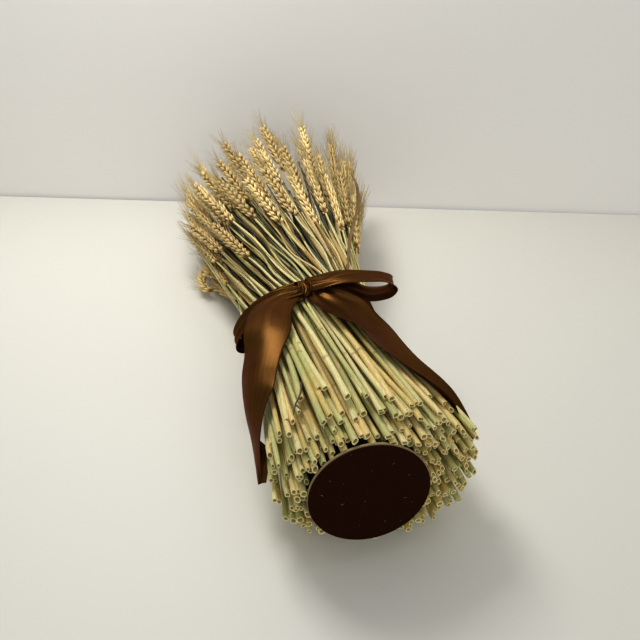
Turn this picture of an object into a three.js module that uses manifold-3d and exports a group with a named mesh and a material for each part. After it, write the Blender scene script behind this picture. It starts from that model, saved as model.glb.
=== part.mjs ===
// A dried wheat sheaf of the standing kind, laid on its side: bearded ears fan out at
// one end, a satin ribbon is tied round the waist, and the cut straws flare into a skirt
// round a felt-faced base disc. Millimetres, +Z up, with +Y running from the base disc to
// the ears. The origin is at the middle of the sheaf's box, on the surface that it lies on.

import * as THREE from 'three';
import { mergeVertices } from 'three/addons/utils/BufferGeometryUtils.js';
import Module from 'manifold-3d';

// ---- Driving dimensions ---------------------------------------------------------------

const BASE_RADIUS = 38;
const BOARD_THICKNESS = 1.6;
const FELT_THICKNESS = 1.2;
const FELT_INSET = 0.4;
const BASE_HEIGHT = 60;
const BASE_TILT = THREE.MathUtils.degToRad(3);
const GAP = 0.3;

// The sheaf's outline at three stations along it, as reaches from its centre line to the
// centres of the outermost stalks. It lies on its side, so the underside is pressed flat.
const SKIRT = { station: 0, height: 60, right: 82, left: 57, up: 54, down: 58 };
const WAIST = { station: 186, height: 45.5, right: 50, left: 48, up: 40, down: 40 };
const FAN = { station: 430, height: 64, right: 104, left: 116, up: 80, down: 60 };
const FAN_FLARE = 1.8;
const SKIRT_TWIST = THREE.MathUtils.degToRad(0.1);
const FAN_SKEW = 0.0073;
const FAN_SLANT = 16;
const FLATNESS = 1.15;

// Three rings of stalks, as shares of the outline's reach at the three stations.
const OUTER = { waist: 1, skirt: 1, fan: 1, cut: 27, tip: 361, spread: 28 };
const MIDDLE = { waist: 0.9, skirt: 0.85, fan: 0.84, cut: 15, tip: 397, spread: 20 };
const INNER = { waist: 0.8, skirt: 0.7, fan: 0.74, cut: 7, tip: 431, spread: 12 };
const INNER_DEEP_FAN = 0.5;
const CUT_SPREAD = 6;

const BUNCHES = 24;
const WEDGE = (2 * Math.PI) / BUNCHES;
const STRAW_SIDES = 5;
const STRAW_RADIUS = 2.15;
const STRAW_WAIST_RADIUS = 1.7;
const STRAW_BORE = 0.6;
const STRAW_BORE_DEPTH = 9;
const STRAW_STRAY = { share: 0.035, angle: 0.012 };
const STEM_RADIUS = 1.15;
const NECK_STATION = 235;
const STALK_SWAY = 0.03;
const TIE_HALF_LENGTH = 4;
const TIE_SLIT = 0.006;
const TIE_INNER_SHARE = 0.75;
const TIE_COVER = 2.3;

const EAR_LENGTH = 62;
const EAR_HALF_WIDTH = 5;
const EAR_HALF_DEPTH = 3.5;
const EAR_RINGS = 8;
const EAR_SPAN = { first: 0.046, last: 0.967 };
const EAR_SWELL = { least: 0.35, start: 0.16, run: 0.8, power: 0.6 };
const EAR_ROLL = 0.5;
const SPIKELET_NOTCH = 0.58;
const AWN_LENGTH = 30;
const AWN_RADIUS = 0.55;
const SIDE_AWN = { root: 0.6, tip: 0.98, rootOffset: 1.75, tipOffset: 6.5 };

const BINDING_WIDTH = 7;
const BINDING_THICKNESS = 0.8;
const RIBBON_THICKNESS = 1.1;
const BAND_WIDTH = 19;
const RIBBON_STEPS = 15;
const BINDING_CLEARANCE = TIE_COVER + 0.35;
const BAND_CLEARANCE = BINDING_CLEARANCE + BINDING_THICKNESS + 0.35;

const COLOURS = {
  felt: 0x1c0e09,
  board: 0xc9b48c,
  straw: 0xcfc48a,
  innerStraw: 0xa79a62,
  binding: 0xb59a66,
  satin: 0x4b2a14,
};

// ---- Solids ---------------------------------------------------------------------------

const wasm = await Module();
wasm.setup();

const vec = (x, y, z) => new THREE.Vector3(x, y, z);

function solidOf(geometry) {
  const bare = geometry.clone();
  bare.deleteAttribute('normal');
  bare.deleteAttribute('uv');
  const merged = mergeVertices(bare, 1e-5);
  return new wasm.Manifold(
    new wasm.Mesh({
      numProp: 3,
      vertProperties: new Float32Array(merged.attributes.position.array),
      triVerts: new Uint32Array(merged.index.array),
    }),
  );
}

function geometryOf(solid) {
  const mesh = solid.getMesh();
  const geometry = new THREE.BufferGeometry();
  geometry.setAttribute('position', new THREE.BufferAttribute(mesh.vertProperties, 3));
  geometry.setIndex(new THREE.BufferAttribute(mesh.triVerts, 1));
  geometry.computeVertexNormals();
  return geometry;
}

function joined(solids) {
  return solids.reduce((whole, solid) => whole.add(solid));
}

// A closed skin over rings of equal numbers of points. A ring of one point is a tip, and
// a looped skin runs from its last ring back to its first.
function skin(rings, looped = false) {
  const points = rings.flat();
  const starts = [];
  rings.reduce((total, ring) => (starts.push(total), total + ring.length), 0);
  const faces = [];
  const band = (first, second) => {
    const a = starts[first];
    const b = starts[second];
    const sides = Math.max(rings[first].length, rings[second].length);
    for (let i = 0; i < sides; i += 1) {
      const j = (i + 1) % sides;
      if (rings[second].length === 1) faces.push([a + i, a + j, b]);
      else faces.push([a + i, a + j, b + j], [a + i, b + j, b + i]);
    }
  };
  for (let k = 0; k + 1 < rings.length; k += 1) band(k, k + 1);
  if (looped) band(rings.length - 1, 0);
  const cap = (start, sides, flip) => {
    for (let i = 1; i + 1 < sides; i += 1) {
      faces.push(flip ? [start, start + i + 1, start + i] : [start, start + i, start + i + 1]);
    }
  };
  if (!looped) {
    cap(starts[0], rings[0].length, true);
    cap(starts.at(-1), rings.at(-1).length, false);
  }
  const volume = faces.reduce((sum, [a, b, c]) => {
    return sum + points[a].dot(points[b].clone().cross(points[c]));
  }, 0);
  const outward = volume > 0 ? faces : faces.map(([a, b, c]) => [a, c, b]);
  const geometry = new THREE.BufferGeometry().setFromPoints(points);
  geometry.setIndex(outward.flat());
  return geometry;
}

// ---- The sheaf's form -----------------------------------------------------------------

// A repeatable draw between -1 and 1 for a stalk's number and the use it is put to: 1 to 3
// for a straw's cut end, 4 to 6 for an ear's place, sway and roll.
function draw(number, use) {
  const value = Math.sin(number * 127.1 + use * 311.7) * 43758.5453;
  return 2 * (value - Math.floor(value)) - 1;
}

function blend(station) {
  if (station < WAIST.station) return (WAIST.station - station) / (WAIST.station - SKIRT.station);
  return ((station - WAIST.station) / (FAN.station - WAIST.station)) ** FAN_FLARE;
}

function outline(station) {
  const end = station < WAIST.station ? SKIRT : FAN;
  const mix = (key) => THREE.MathUtils.lerp(WAIST[key], end[key], blend(station));
  return {
    height: mix('height'),
    right: mix('right'),
    left: mix('left'),
    up: mix('up'),
    down: mix('down'),
  };
}

// The underside's curve: 0 at the side, 1 along the flat that the sheaf lies on.
function pressed(sine) {
  const curve = (t) => (FLATNESS * t) / (1 + (FLATNESS * t) ** 6) ** (1 / 6);
  return curve(sine) / curve(1);
}

// How far a stalk has turned about the sheaf's middle at a station. The sheaf is twisted as
// it is tied: the straws turn evenly, and above the tie the stems run on straight.
function turnAt(station) {
  const run = station - WAIST.station;
  return run < 0 ? SKIRT_TWIST * run : Math.atan(FAN_SKEW * run);
}

// A place in the sheaf: its station, its angle at the waist and its share of the reach.
function place(station, waistAngle, share) {
  const form = outline(station);
  const angle = waistAngle + turnAt(station);
  const aside = Math.cos(angle);
  const rise = Math.sin(angle);
  const x = share * aside * (aside > 0 ? form.right : form.left);
  const z = share * (rise > 0 ? rise * form.up : -pressed(-rise) * form.down);
  return vec(x, station, form.height + z);
}

// A place so far outside the outline, square to it in the section's plane.
function outside(station, waistAngle, distance) {
  const middle = place(station, waistAngle, 1);
  const ahead = place(station, waistAngle + 0.01, 1);
  const tangent = ahead.sub(middle).normalize();
  return middle.addScaledVector(vec(tangent.z, 0, -tangent.x), distance);
}

// A ring's share of the reach at a station.
function ringShare(ring, station) {
  const end = station < WAIST.station ? ring.skirt : ring.fan;
  return THREE.MathUtils.lerp(ring.waist, end, blend(station));
}

// The two directions square to a run: sideways, and out on the side that it faces.
function frameOf(direction, facing) {
  const side = direction.clone().cross(facing).normalize();
  return { side, out: side.clone().cross(direction).normalize() };
}

function polygon(centre, direction, radius, sides) {
  const { side, out } = frameOf(direction, vec(0, 0, 1));
  return Array.from({ length: sides }, (_, i) => {
    const turn = (2 * Math.PI * i) / sides;
    return centre
      .clone()
      .addScaledVector(side, radius * Math.cos(turn))
      .addScaledVector(out, radius * Math.sin(turn));
  });
}

// ---- Base disc ------------------------------------------------------------------------

function disc(radius, thickness, backStation) {
  const geometry = new THREE.CylinderGeometry(radius, radius, thickness, 36);
  geometry.translate(0, backStation - thickness / 2, 0);
  return geometry;
}

// The board's back is against the stalks at station 0 and the felt is the foot's face.
function buildBase() {
  const base = new THREE.Group();
  base.position.set(0, 0, BASE_HEIGHT);
  base.rotation.x = -BASE_TILT;
  const board = disc(BASE_RADIUS, BOARD_THICKNESS, 0);
  const felt = disc(BASE_RADIUS - FELT_INSET, FELT_THICKNESS, -BOARD_THICKNESS - GAP);
  base.add(named('base_board', board, COLOURS.board, 0.9));
  base.add(named('base_felt', felt, COLOURS.felt, 1));
  return base;
}

// ---- Inner stems ----------------------------------------------------------------------

const INNER_STEMS = {
  ribs: 18,
  ribDepth: 0.1,
  baseRadius: 33,
  baseStation: GAP,
  waistShare: 0.715,
  topStation: 232,
  topShare: 0.6,
};

// The packed stems inside the sheaf, glued to the board and ribbed like the straws in it.
function buildInnerStems() {
  const points = 2 * INNER_STEMS.ribs;
  const ringAt = (station, shareOfReach, roundness) =>
    Array.from({ length: points }, (_, i) => {
      const angle = (2 * Math.PI * i) / points;
      const rib = 1 - (i % 2) * INNER_STEMS.ribDepth;
      const free = place(station, angle, shareOfReach * rib);
      const turned = angle + turnAt(station);
      const round = vec(
        INNER_STEMS.baseRadius * rib * Math.cos(turned),
        station,
        BASE_HEIGHT + INNER_STEMS.baseRadius * rib * Math.sin(turned),
      );
      return free.lerp(round, roundness);
    });
  const rings = [
    ringAt(INNER_STEMS.baseStation, 0, 1),
    ringAt(WAIST.station - TIE_HALF_LENGTH, INNER_STEMS.waistShare, 0),
    ringAt(WAIST.station + TIE_HALF_LENGTH, INNER_STEMS.waistShare, 0),
    ringAt(INNER_STEMS.topStation, INNER_STEMS.topShare, 0),
  ];
  // The first ring leans with the board that it is glued to.
  rings[0].forEach((point) => {
    point.y += (point.z - BASE_HEIGHT) * Math.tan(BASE_TILT);
  });
  return named('inner_stems', skin(rings), COLOURS.innerStraw, 0.95);
}

// ---- Bunches of stalks ----------------------------------------------------------------

// A cut straw from inside the tie down to its end in the skirt, where its bore shows.
function straw(ring, angle, number) {
  const cut = ring.cut + CUT_SPREAD * draw(number, 1);
  const inset = STRAW_STRAY.share * Math.abs(draw(number, 2));
  const turn = STRAW_STRAY.angle * draw(number, 3);
  const root = place(WAIST.station, angle, ring.waist);
  const end = place(cut, angle + turn, ringShare(ring, cut) - inset);
  const along = end.clone().sub(root).normalize();
  const floor = end.clone().addScaledVector(along, -STRAW_BORE_DEPTH);
  const bore = STRAW_RADIUS * STRAW_BORE;
  return solidOf(
    skin([
      polygon(root, along, STRAW_WAIST_RADIUS, STRAW_SIDES),
      polygon(end, along, STRAW_RADIUS, STRAW_SIDES),
      polygon(end, along, bore, STRAW_SIDES),
      polygon(floor, along, bore, STRAW_SIDES),
    ]),
  );
}

// The half width of an ear along it: full from just above its neck, narrow at its tip.
function earFullness(t) {
  const { least, start, run, power } = EAR_SWELL;
  return least + (1 - least) * Math.sin(Math.PI * (start + run * t)) ** power;
}

// A stalk from inside the tie up to its ear. Spikelets stand out of the ear's two edges
// by turns, and the last awn is the ear's own tip.
function stalk(path, facing) {
  const earFrame = (u) => frameOf(path.getTangentAt(u), facing);
  const rhomb = (centre, frame, left, right, depth) => [
    centre.clone().addScaledVector(frame.side, right),
    centre.clone().addScaledVector(frame.out, depth),
    centre.clone().addScaledVector(frame.side, -left),
    centre.clone().addScaledVector(frame.out, -depth),
  ];
  const rings = [0, path.earStart].map((u) => {
    return rhomb(path.getPointAt(u), earFrame(u), STEM_RADIUS, STEM_RADIUS, STEM_RADIUS);
  });
  for (let i = 0; i < EAR_RINGS; i += 1) {
    const t = THREE.MathUtils.lerp(EAR_SPAN.first, EAR_SPAN.last, i / (EAR_RINGS - 1));
    const u = THREE.MathUtils.lerp(path.earStart, path.earEnd, t);
    const full = earFullness(t);
    const left = EAR_HALF_WIDTH * full * (i % 2 ? 1 : SPIKELET_NOTCH);
    const right = EAR_HALF_WIDTH * full * (i % 2 ? SPIKELET_NOTCH : 1);
    rings.push(rhomb(path.getPointAt(u), earFrame(u), left, right, EAR_HALF_DEPTH * full));
  }
  const tip = path.getPointAt(path.earEnd);
  rings.push(rhomb(tip, earFrame(path.earEnd), AWN_RADIUS, AWN_RADIUS, AWN_RADIUS));
  rings.push([path.getPointAt(1)]);
  return solidOf(skin(rings));
}

// Two more awns, rooted in the ear's edges.
function awns(path, facing) {
  return [-1, 1].map((hand) => {
    const u = THREE.MathUtils.lerp(path.earStart, path.earEnd, SIDE_AWN.root);
    const { side } = frameOf(path.getTangentAt(u), facing);
    const root = path.getPointAt(u).addScaledVector(side, hand * SIDE_AWN.rootOffset);
    const tip = path.getPointAt(SIDE_AWN.tip).addScaledVector(side, hand * SIDE_AWN.tipOffset);
    const along = tip.clone().sub(root).normalize();
    return solidOf(skin([polygon(root, along, AWN_RADIUS, 3), [tip]]));
  });
}

function stalkPath(points, earLength) {
  const path = new THREE.CatmullRomCurve3(points, false, 'centripetal');
  path.arcLengthDivisions = 400;
  const length = path.getLength();
  path.earEnd = 1 - AWN_LENGTH / length;
  path.earStart = path.earEnd - earLength / length;
  return path;
}

function flowingPath(ring, angle, number) {
  const lean = FAN_SLANT * Math.cos(angle + turnAt(FAN.station));
  const tip = ring.tip + ring.spread * draw(number, 4) + lean;
  const sway = STALK_SWAY * draw(number, 5);
  const deep = ring === INNER && number % 2 ? INNER_DEEP_FAN : ring.fan;
  const ear = [tip - EAR_LENGTH, tip - EAR_LENGTH / 2, tip, tip + AWN_LENGTH];
  const points = [WAIST.station, NECK_STATION, ...ear].map((station) => {
    const rise = blend(station);
    const reach = THREE.MathUtils.lerp(ring.waist, deep, rise);
    return place(station, angle + sway * rise, reach);
  });
  return stalkPath(points, EAR_LENGTH);
}

// One ear at the edge of the fan has curled round on itself beside the sheaf.
const CURLED_BUNCH = 13;
const CURLED_EAR_LENGTH = 50;
const CURLED_ROUTE = [
  [-52, 308, 20],
  [-60, 317, 13],
  [-69, 317, 10],
  [-78, 324, 9.5],
  [-81, 341, 10],
  [-79, 356, 12],
  [-84, 385, 18],
];

function curledPath(angle) {
  const tied = [WAIST.station, NECK_STATION].map((station) => place(station, angle, 1));
  const lying = CURLED_ROUTE.map((point) => vec(...point));
  return stalkPath([...tied, ...lying], CURLED_EAR_LENGTH);
}

function stalkWithAwns(ring, angle, number) {
  const curled = ring === OUTER && number === CURLED_BUNCH;
  const path = curled ? curledPath(angle) : flowingPath(ring, angle, number);
  const neck = path.getPointAt(path.earStart);
  const outward = vec(neck.x, 0, neck.z - outline(neck.y).height).normalize();
  const rolled = outward.applyAxisAngle(vec(0, 1, 0), EAR_ROLL * draw(number, 6));
  const facing = curled ? vec(0, 0, 1) : rolled;
  return [stalk(path, facing), ...awns(path, facing)];
}

// The stalks of one bunch are pressed into one wedge where they are tied.
function tiedWedge(angle) {
  const sides = [angle - WEDGE / 2 + TIE_SLIT, angle + WEDGE / 2 - TIE_SLIT];
  const inner = sides.map((side) => place(WAIST.station, side, TIE_INNER_SHARE));
  const outer = sides.map((side) => outside(WAIST.station, side, TIE_COVER));
  const section = [inner[0], inner[1], outer[1], outer[0]];
  const ends = [-TIE_HALF_LENGTH, TIE_HALF_LENGTH].map((shift) => {
    return section.map((corner) => corner.clone().setY(corner.y + shift));
  });
  return solidOf(skin(ends));
}

function buildBunch(index) {
  const angle = index * WEDGE;
  const quarter = WEDGE / 4;
  const straws = [
    straw(OUTER, angle - quarter, 5 * index),
    straw(OUTER, angle + quarter, 5 * index + 1),
    straw(MIDDLE, angle - quarter, 5 * index + 2),
    straw(MIDDLE, angle + quarter, 5 * index + 3),
    straw(INNER, angle, 5 * index + 4),
  ];
  const stalks = [
    ...stalkWithAwns(OUTER, angle + quarter, index),
    ...stalkWithAwns(MIDDLE, angle - quarter, index + BUNCHES),
    ...stalkWithAwns(INNER, angle, index + 2 * BUNCHES),
  ];
  const whole = joined([tiedWedge(angle), ...straws, ...stalks]);
  const name = `bunch_${String(index + 1).padStart(2, '0')}`;
  return named(name, geometryOf(whole), COLOURS.straw, 0.7);
}

// ---- Tie and ribbon -------------------------------------------------------------------

// A flat band round the waist, so far out from the outermost stalks' centres.
function waistBand(clearance, width, thickness) {
  const rings = Array.from({ length: BUNCHES }, (_, i) => {
    const angle = (i + 0.5) * WEDGE;
    const corner = (along, away) => {
      return outside(WAIST.station, angle, away).add(vec(0, along, 0));
    };
    return [
      corner(-width / 2, clearance),
      corner(width / 2, clearance),
      corner(width / 2, clearance + thickness),
      corner(-width / 2, clearance + thickness),
    ];
  });
  return skin(rings, true);
}

function buildBinding() {
  const band = waistBand(BINDING_CLEARANCE, BINDING_WIDTH, BINDING_THICKNESS);
  return named('binding_band', band, COLOURS.binding, 0.8);
}

// A length of ribbon between its two edges, given as pairs of places, one on each edge.
function ribbonStrip(pairs) {
  const edges = [0, 1].map((side) => {
    const places = pairs.map((pair) => vec(...pair[side]));
    return new THREE.CatmullRomCurve3(places, false, 'centripetal');
  });
  const rings = Array.from({ length: RIBBON_STEPS + 1 }, (_, i) => {
    const t = i / RIBBON_STEPS;
    const [first, second] = edges.map((edge) => edge.getPoint(t));
    const run = edges[0].getTangent(t).add(edges[1].getTangent(t));
    const out = second.clone().sub(first).cross(run).setLength(RIBBON_THICKNESS / 2);
    return [
      first.clone().sub(out),
      second.clone().sub(out),
      second.clone().add(out),
      first.clone().add(out),
    ];
  });
  return solidOf(skin(rings));
}

// A bow's loop, from its outline seen along the ribbon's width: places across and up,
// and the ribbon's width there, which the knot gathers. The width lies along one direction.
function bowLoop({ station, lies, outline: route }) {
  const pairs = route.map(([x, z, width]) => {
    const half = vec(...lies).setLength(width / 2);
    const middle = vec(x, station, z);
    return [middle.clone().sub(half).toArray(), middle.clone().add(half).toArray()];
  });
  return ribbonStrip(pairs);
}

const KNOT = { x: -8, y: 178, z: 94, halfWidth: 6.5, halfLength: 8, halfHeight: 5 };

const RIGHT_LOOP = {
  station: 181,
  lies: [0.155, 0.9, -0.41],
  outline: [
    [-6, 93.5, 12],
    [20, 101, 24],
    [44, 98, 31],
    [59, 94, 33],
    [65, 88, 33],
    [60, 81.5, 33],
    [44, 80, 30],
    [22, 93.5, 18],
    [-6, 92, 12],
  ],
};

const LEFT_LOOP = {
  station: 172,
  lies: [0, 1, 0],
  outline: [
    [-9, 94, 12],
    [-30, 90.5, 20],
    [-49, 76, 24],
    [-61, 56, 24],
    [-61.5, 46, 24],
    [-57, 45, 23],
    [-53.5, 60, 22],
    [-32, 85.5, 18],
    [-9, 92, 12],
  ],
};

// The tails, from the knot to their cut ends, as pairs of places on the inner edge,
// which is the one towards the top of the skirt, and on the outer edge.
const LEFT_TAIL = [
  [[-6, 176, 92], [-12, 184, 94]],
  [[-21, 150, 94], [-42, 162, 90]],
  [[-26, 124, 95], [-57, 134, 90]],
  [[-35, 106, 93], [-60, 122, 82]],
  [[-41, 92, 92], [-63, 107, 75]],
  [[-47, 72, 90], [-64, 90, 70]],
  [[-53, 63, 80], [-64, 80, 58]],
  [[-60, 50, 65], [-63, 70, 45]],
  [[-59, 37, 40], [-62, 46, 29]],
];

const RIGHT_TAIL = [
  [[-4, 176, 92], [2, 184, 94]],
  [[-4, 160, 94], [16, 170, 94]],
  [[0, 142, 97], [31, 155, 94]],
  [[11, 116, 100], [37, 137, 89]],
  [[20, 86, 104.5], [45, 110, 92]],
  [[40, 72, 102], [60, 94, 83]],
  [[56, 60, 95], [78, 70, 68]],
  [[70, 38, 84], [83, 50, 55]],
  [[80, 28, 70], [84, 38, 42]],
];

function knotLump() {
  const lump = new THREE.SphereGeometry(1, 9, 6);
  lump.rotateX(Math.PI / 2);
  lump.scale(KNOT.halfWidth, KNOT.halfLength, KNOT.halfHeight);
  lump.translate(KNOT.x, KNOT.y, KNOT.z);
  return solidOf(lump);
}

function buildRibbon() {
  const band = solidOf(waistBand(BAND_CLEARANCE, BAND_WIDTH, RIBBON_THICKNESS));
  const whole = joined([
    band,
    knotLump(),
    bowLoop(RIGHT_LOOP),
    bowLoop(LEFT_LOOP),
    ribbonStrip(LEFT_TAIL),
    ribbonStrip(RIGHT_TAIL),
  ]);
  return named('satin_ribbon', geometryOf(whole), COLOURS.satin, 0.35);
}

// ---- Assembly -------------------------------------------------------------------------

function named(name, geometry, color, roughness) {
  const mesh = new THREE.Mesh(
    geometry,
    new THREE.MeshStandardMaterial({ color, roughness, metalness: 0 }),
  );
  mesh.name = name;
  return mesh;
}

const sheaf = new THREE.Group();
sheaf.add(buildBase());
sheaf.add(buildInnerStems());
for (let index = 0; index < BUNCHES; index += 1) sheaf.add(buildBunch(index));
sheaf.add(buildBinding());
sheaf.add(buildRibbon());

const box = new THREE.Box3().setFromObject(sheaf, true);
const middle = box.getCenter(new THREE.Vector3());
sheaf.position.set(-middle.x, -middle.y, -box.min.z);

export default sheaf;
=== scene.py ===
"""A dried wheat sheaf of the standing kind, laid on its side.

Bearded ears fan out at one end, a brown satin ribbon is tied round the waist, and the cut
straws flare into a skirt round a felt-faced disc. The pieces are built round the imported
frame, in metres, with +Y running from the disc to the ears and +Z up.
"""

import math

import bpy
import numpy as np
from bpy.props import FloatProperty, FloatVectorProperty, IntProperty, PointerProperty
from bpy.types import Operator, Panel, PropertyGroup
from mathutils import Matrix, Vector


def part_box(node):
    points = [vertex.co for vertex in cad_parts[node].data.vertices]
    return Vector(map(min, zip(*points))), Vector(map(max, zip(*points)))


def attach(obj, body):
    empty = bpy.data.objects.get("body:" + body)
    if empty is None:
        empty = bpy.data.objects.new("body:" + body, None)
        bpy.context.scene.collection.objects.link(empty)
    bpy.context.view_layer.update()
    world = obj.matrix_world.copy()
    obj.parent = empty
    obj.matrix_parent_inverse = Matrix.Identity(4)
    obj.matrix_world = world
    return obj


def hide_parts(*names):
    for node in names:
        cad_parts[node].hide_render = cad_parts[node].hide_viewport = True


bl_info = {
    "name": "Dried Wheat Sheaf",
    "version": (1, 0, 0),
    "blender": (4, 5, 0),
    "location": "3D View > Sidebar > Wheat Sheaf",
    "description": "Builds a dried wheat sheaf with its ribbon and its base disc",
    "category": "Add Mesh",
}

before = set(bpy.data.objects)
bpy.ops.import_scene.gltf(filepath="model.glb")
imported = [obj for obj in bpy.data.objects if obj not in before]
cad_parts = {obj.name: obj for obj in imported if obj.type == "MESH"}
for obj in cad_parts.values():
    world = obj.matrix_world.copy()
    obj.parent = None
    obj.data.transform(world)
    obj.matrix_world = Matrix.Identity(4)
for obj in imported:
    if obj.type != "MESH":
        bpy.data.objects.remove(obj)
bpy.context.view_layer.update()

# ---- The sheaf's form, in millimetres from the middle of the disc -----------------------

MM = 0.001
BASE_HEIGHT = 60.0
BASE_TILT = math.radians(3)
BOARD_THICKNESS = 1.6

SKIRT = {"station": 0, "height": 60, "right": 82, "left": 57, "up": 54, "down": 58}
WAIST = {"station": 186, "height": 45.5, "right": 50, "left": 48, "up": 40, "down": 40}
FAN = {"station": 430, "height": 64, "right": 104, "left": 116, "up": 80, "down": 60}
FAN_FLARE = 1.8
SKIRT_TWIST = math.radians(0.1)
FAN_SKEW = 0.0073
FAN_SLANT = 16
FLATNESS = 1.15

# Rings of stalks, as shares of the reach at the waist, the skirt's hem and the fan.
OUTER = {"waist": 1, "skirt": 1, "fan": 1, "cut": 27, "tip": 361, "spread": 28}
MIDDLE = {"waist": 0.9, "skirt": 0.85, "fan": 0.84, "cut": 15, "tip": 397, "spread": 20}
INNER = {"waist": 0.8, "skirt": 0.7, "fan": 0.74, "cut": 7, "tip": 431, "spread": 12}
INNER_DEEP_FAN = 0.5
BUNCHES = 24
WEDGE = 2 * math.pi / BUNCHES
CURLED_BUNCH = 13
CURLED_ROUTE = [
    (-50, 298, 20), (-58, 316, 12), (-66, 320, 10), (-74, 322, 10),
    (-79.5, 332, 11), (-79, 343, 13), (-73, 350, 17), (-66.5, 345, 20),
    (-66, 335, 21), (-71.5, 332, 22), (-74, 339, 24),
]
CURLED_EAR = 70
SMALL_EAR = 34
LOW_BRISTLE = 0.5

# The stalks that lie lowest at the left, and an old leaf along the fan's right edge.
LOW_ENDS = ((-54, 316, 8), (-84, 356, 44))
LOW_STEMS = 23
LOW_TIED = (178, 232)
SMALL_EAR_ROUTE = [(-45, 270, 26), (-52, 294, 14), (-58, 312, 10), (-68, 334, 11)]
EDGE_LEAF_ROUTE = [
    (35, 218, 76), (42, 246, 78), (57, 294, 80), (74, 342, 78),
    (81, 382, 80), (80, 402, 82),
]
EDGE_LEAF_BUNCH = 1
# A dark twig that stands out among the cut straws, with its side shoot.
TWIG_ROUTES = [
    [(-30, 62, 99), (-34, 40, 108.5), (-38.5, 31, 108.5), (-41, 23, 108)],
    [(-38.5, 31, 108.5), (-36.5, 26, 109)],
]
TWIG_BUNCH = 8

# How far the ribbon is from the middles of the outer stalks.
BAND_CLEARANCE = 3.8
UP = np.array((0, 0, 1))

# What a strand of a bunch is, kept on its points.
STRAW, STEM, EAR, LEAF = range(4)


def frame_shift():
    """How far the form's own origin is from the frame's, read off the board."""
    low, high = (np.array(corner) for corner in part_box("base_board"))
    half = BOARD_THICKNESS / 2
    rise = BASE_HEIGHT + half * math.sin(BASE_TILT)
    middle = np.array((0, -half * math.cos(BASE_TILT), rise))
    return (low + high) / 2 - middle * MM


SHIFT = frame_shift()


def located(points):
    """Points of the form, in metres in the frame."""
    return np.asarray(points, float) * MM + SHIFT


def lerp(a, b, t):
    return a + (b - a) * t


def draw(number, use):
    """A repeatable draw between -1 and 1 for a stalk's number and the use it is put to."""
    value = math.sin(number * 127.1 + use * 311.7) * 43758.5453
    return 2 * (value - math.floor(value)) - 1


def shades(number, use):
    """A strand's tone and hue, between 0 and 1, from two draws."""
    return 0.5 + 0.5 * draw(number, use), 0.5 + 0.5 * draw(number, use + 1)


def blend(station):
    """0 at the waist, and 1 at the skirt's hem and at the fan."""
    station = np.asarray(station, float)
    below = (WAIST["station"] - station) / (WAIST["station"] - SKIRT["station"])
    run = (station - WAIST["station"]) / (FAN["station"] - WAIST["station"])
    return np.where(station < WAIST["station"], below, np.maximum(run, 0) ** FAN_FLARE)


def outline(station, key):
    """One of the form's measures at a station."""
    below = np.asarray(station) < WAIST["station"]
    end = np.where(below, SKIRT[key], FAN[key])
    return lerp(WAIST[key], end, blend(station))


def pressed(sine):
    """The underside's curve: 0 at the side, 1 along the flat that the sheaf lies on."""

    def curve(t):
        return FLATNESS * t / (1 + (FLATNESS * t) ** 6) ** (1 / 6)

    return curve(sine) / curve(1)


def turn_at(station):
    """How far a stalk has turned about the sheaf's middle: evenly along a straw, and as a
    straight stem does above the tie."""
    run = np.asarray(station, float) - WAIST["station"]
    return np.where(run < 0, SKIRT_TWIST * run, np.arctan(FAN_SKEW * run))


def place(station, waist_angle, share):
    """Places in the sheaf from station, angle at the waist and share of the reach."""
    station = np.asarray(station, float)
    angle = waist_angle + turn_at(station)
    aside, rise = np.cos(angle), np.sin(angle)
    across = np.where(aside > 0, outline(station, "right"), outline(station, "left"))
    above = rise * outline(station, "up")
    below = -pressed(np.maximum(-rise, 0)) * outline(station, "down")
    z = outline(station, "height") + share * np.where(rise > 0, above, below)
    return np.stack(np.broadcast_arrays(share * aside * across, station, z), axis=-1)


def ring_share(ring, station):
    end = np.where(np.asarray(station) < WAIST["station"], ring["skirt"], ring["fan"])
    return lerp(ring["waist"], end, blend(station))


def smooth_path(points, count):
    """Points along a centripetal Catmull-Rom curve through the given ones."""
    p = np.asarray(points, float)
    p = np.vstack([2 * p[0] - p[1], p, 2 * p[-1] - p[-2]])
    gaps = np.linalg.norm(np.diff(p, axis=0), axis=1) ** 0.5
    along = np.linspace(0, len(points) - 1, count)
    k = np.minimum(along.astype(int), len(points) - 2)
    t = (along - k)[:, None]
    first, second, third = (gaps[k + i][:, None] for i in range(3))
    a, b, c, d = (p[k + i] for i in range(4))
    start = ((b - a) / first - (c - a) / (first + second) + (c - b) / second) * second
    end = ((c - b) / second - (d - b) / (second + third) + (d - c) / third) * second
    cubic = (2 * b - 2 * c + start + end) * t**3
    return cubic + (3 * c - 3 * b - 2 * start - end) * t**2 + start * t + b


def unit(vectors):
    lengths = np.linalg.norm(vectors, axis=-1, keepdims=True)
    return vectors / np.maximum(lengths, 1e-12)


# ---- Settings ---------------------------------------------------------------------------


def srgb(red, green, blue):
    """A colour as it is seen, 0 to 255, as Blender's linear values."""
    seen = np.array((red, green, blue)) / 255
    linear = np.where(seen <= 0.04045, seen / 12.92, ((seen + 0.055) / 1.055) ** 2.4)
    return (*linear.tolist(), 1.0)


def size(name, description, default):
    return FloatProperty(
        name=name, description=description, default=default, min=0, unit="LENGTH"
    )


def colour(name, description, default):
    return FloatVectorProperty(
        name=name,
        description=description,
        default=default,
        size=4,
        subtype="COLOR",
        min=0,
        max=1,
    )


def whole_number(name, description, default):
    return IntProperty(name=name, description=description, default=default, min=1)


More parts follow.
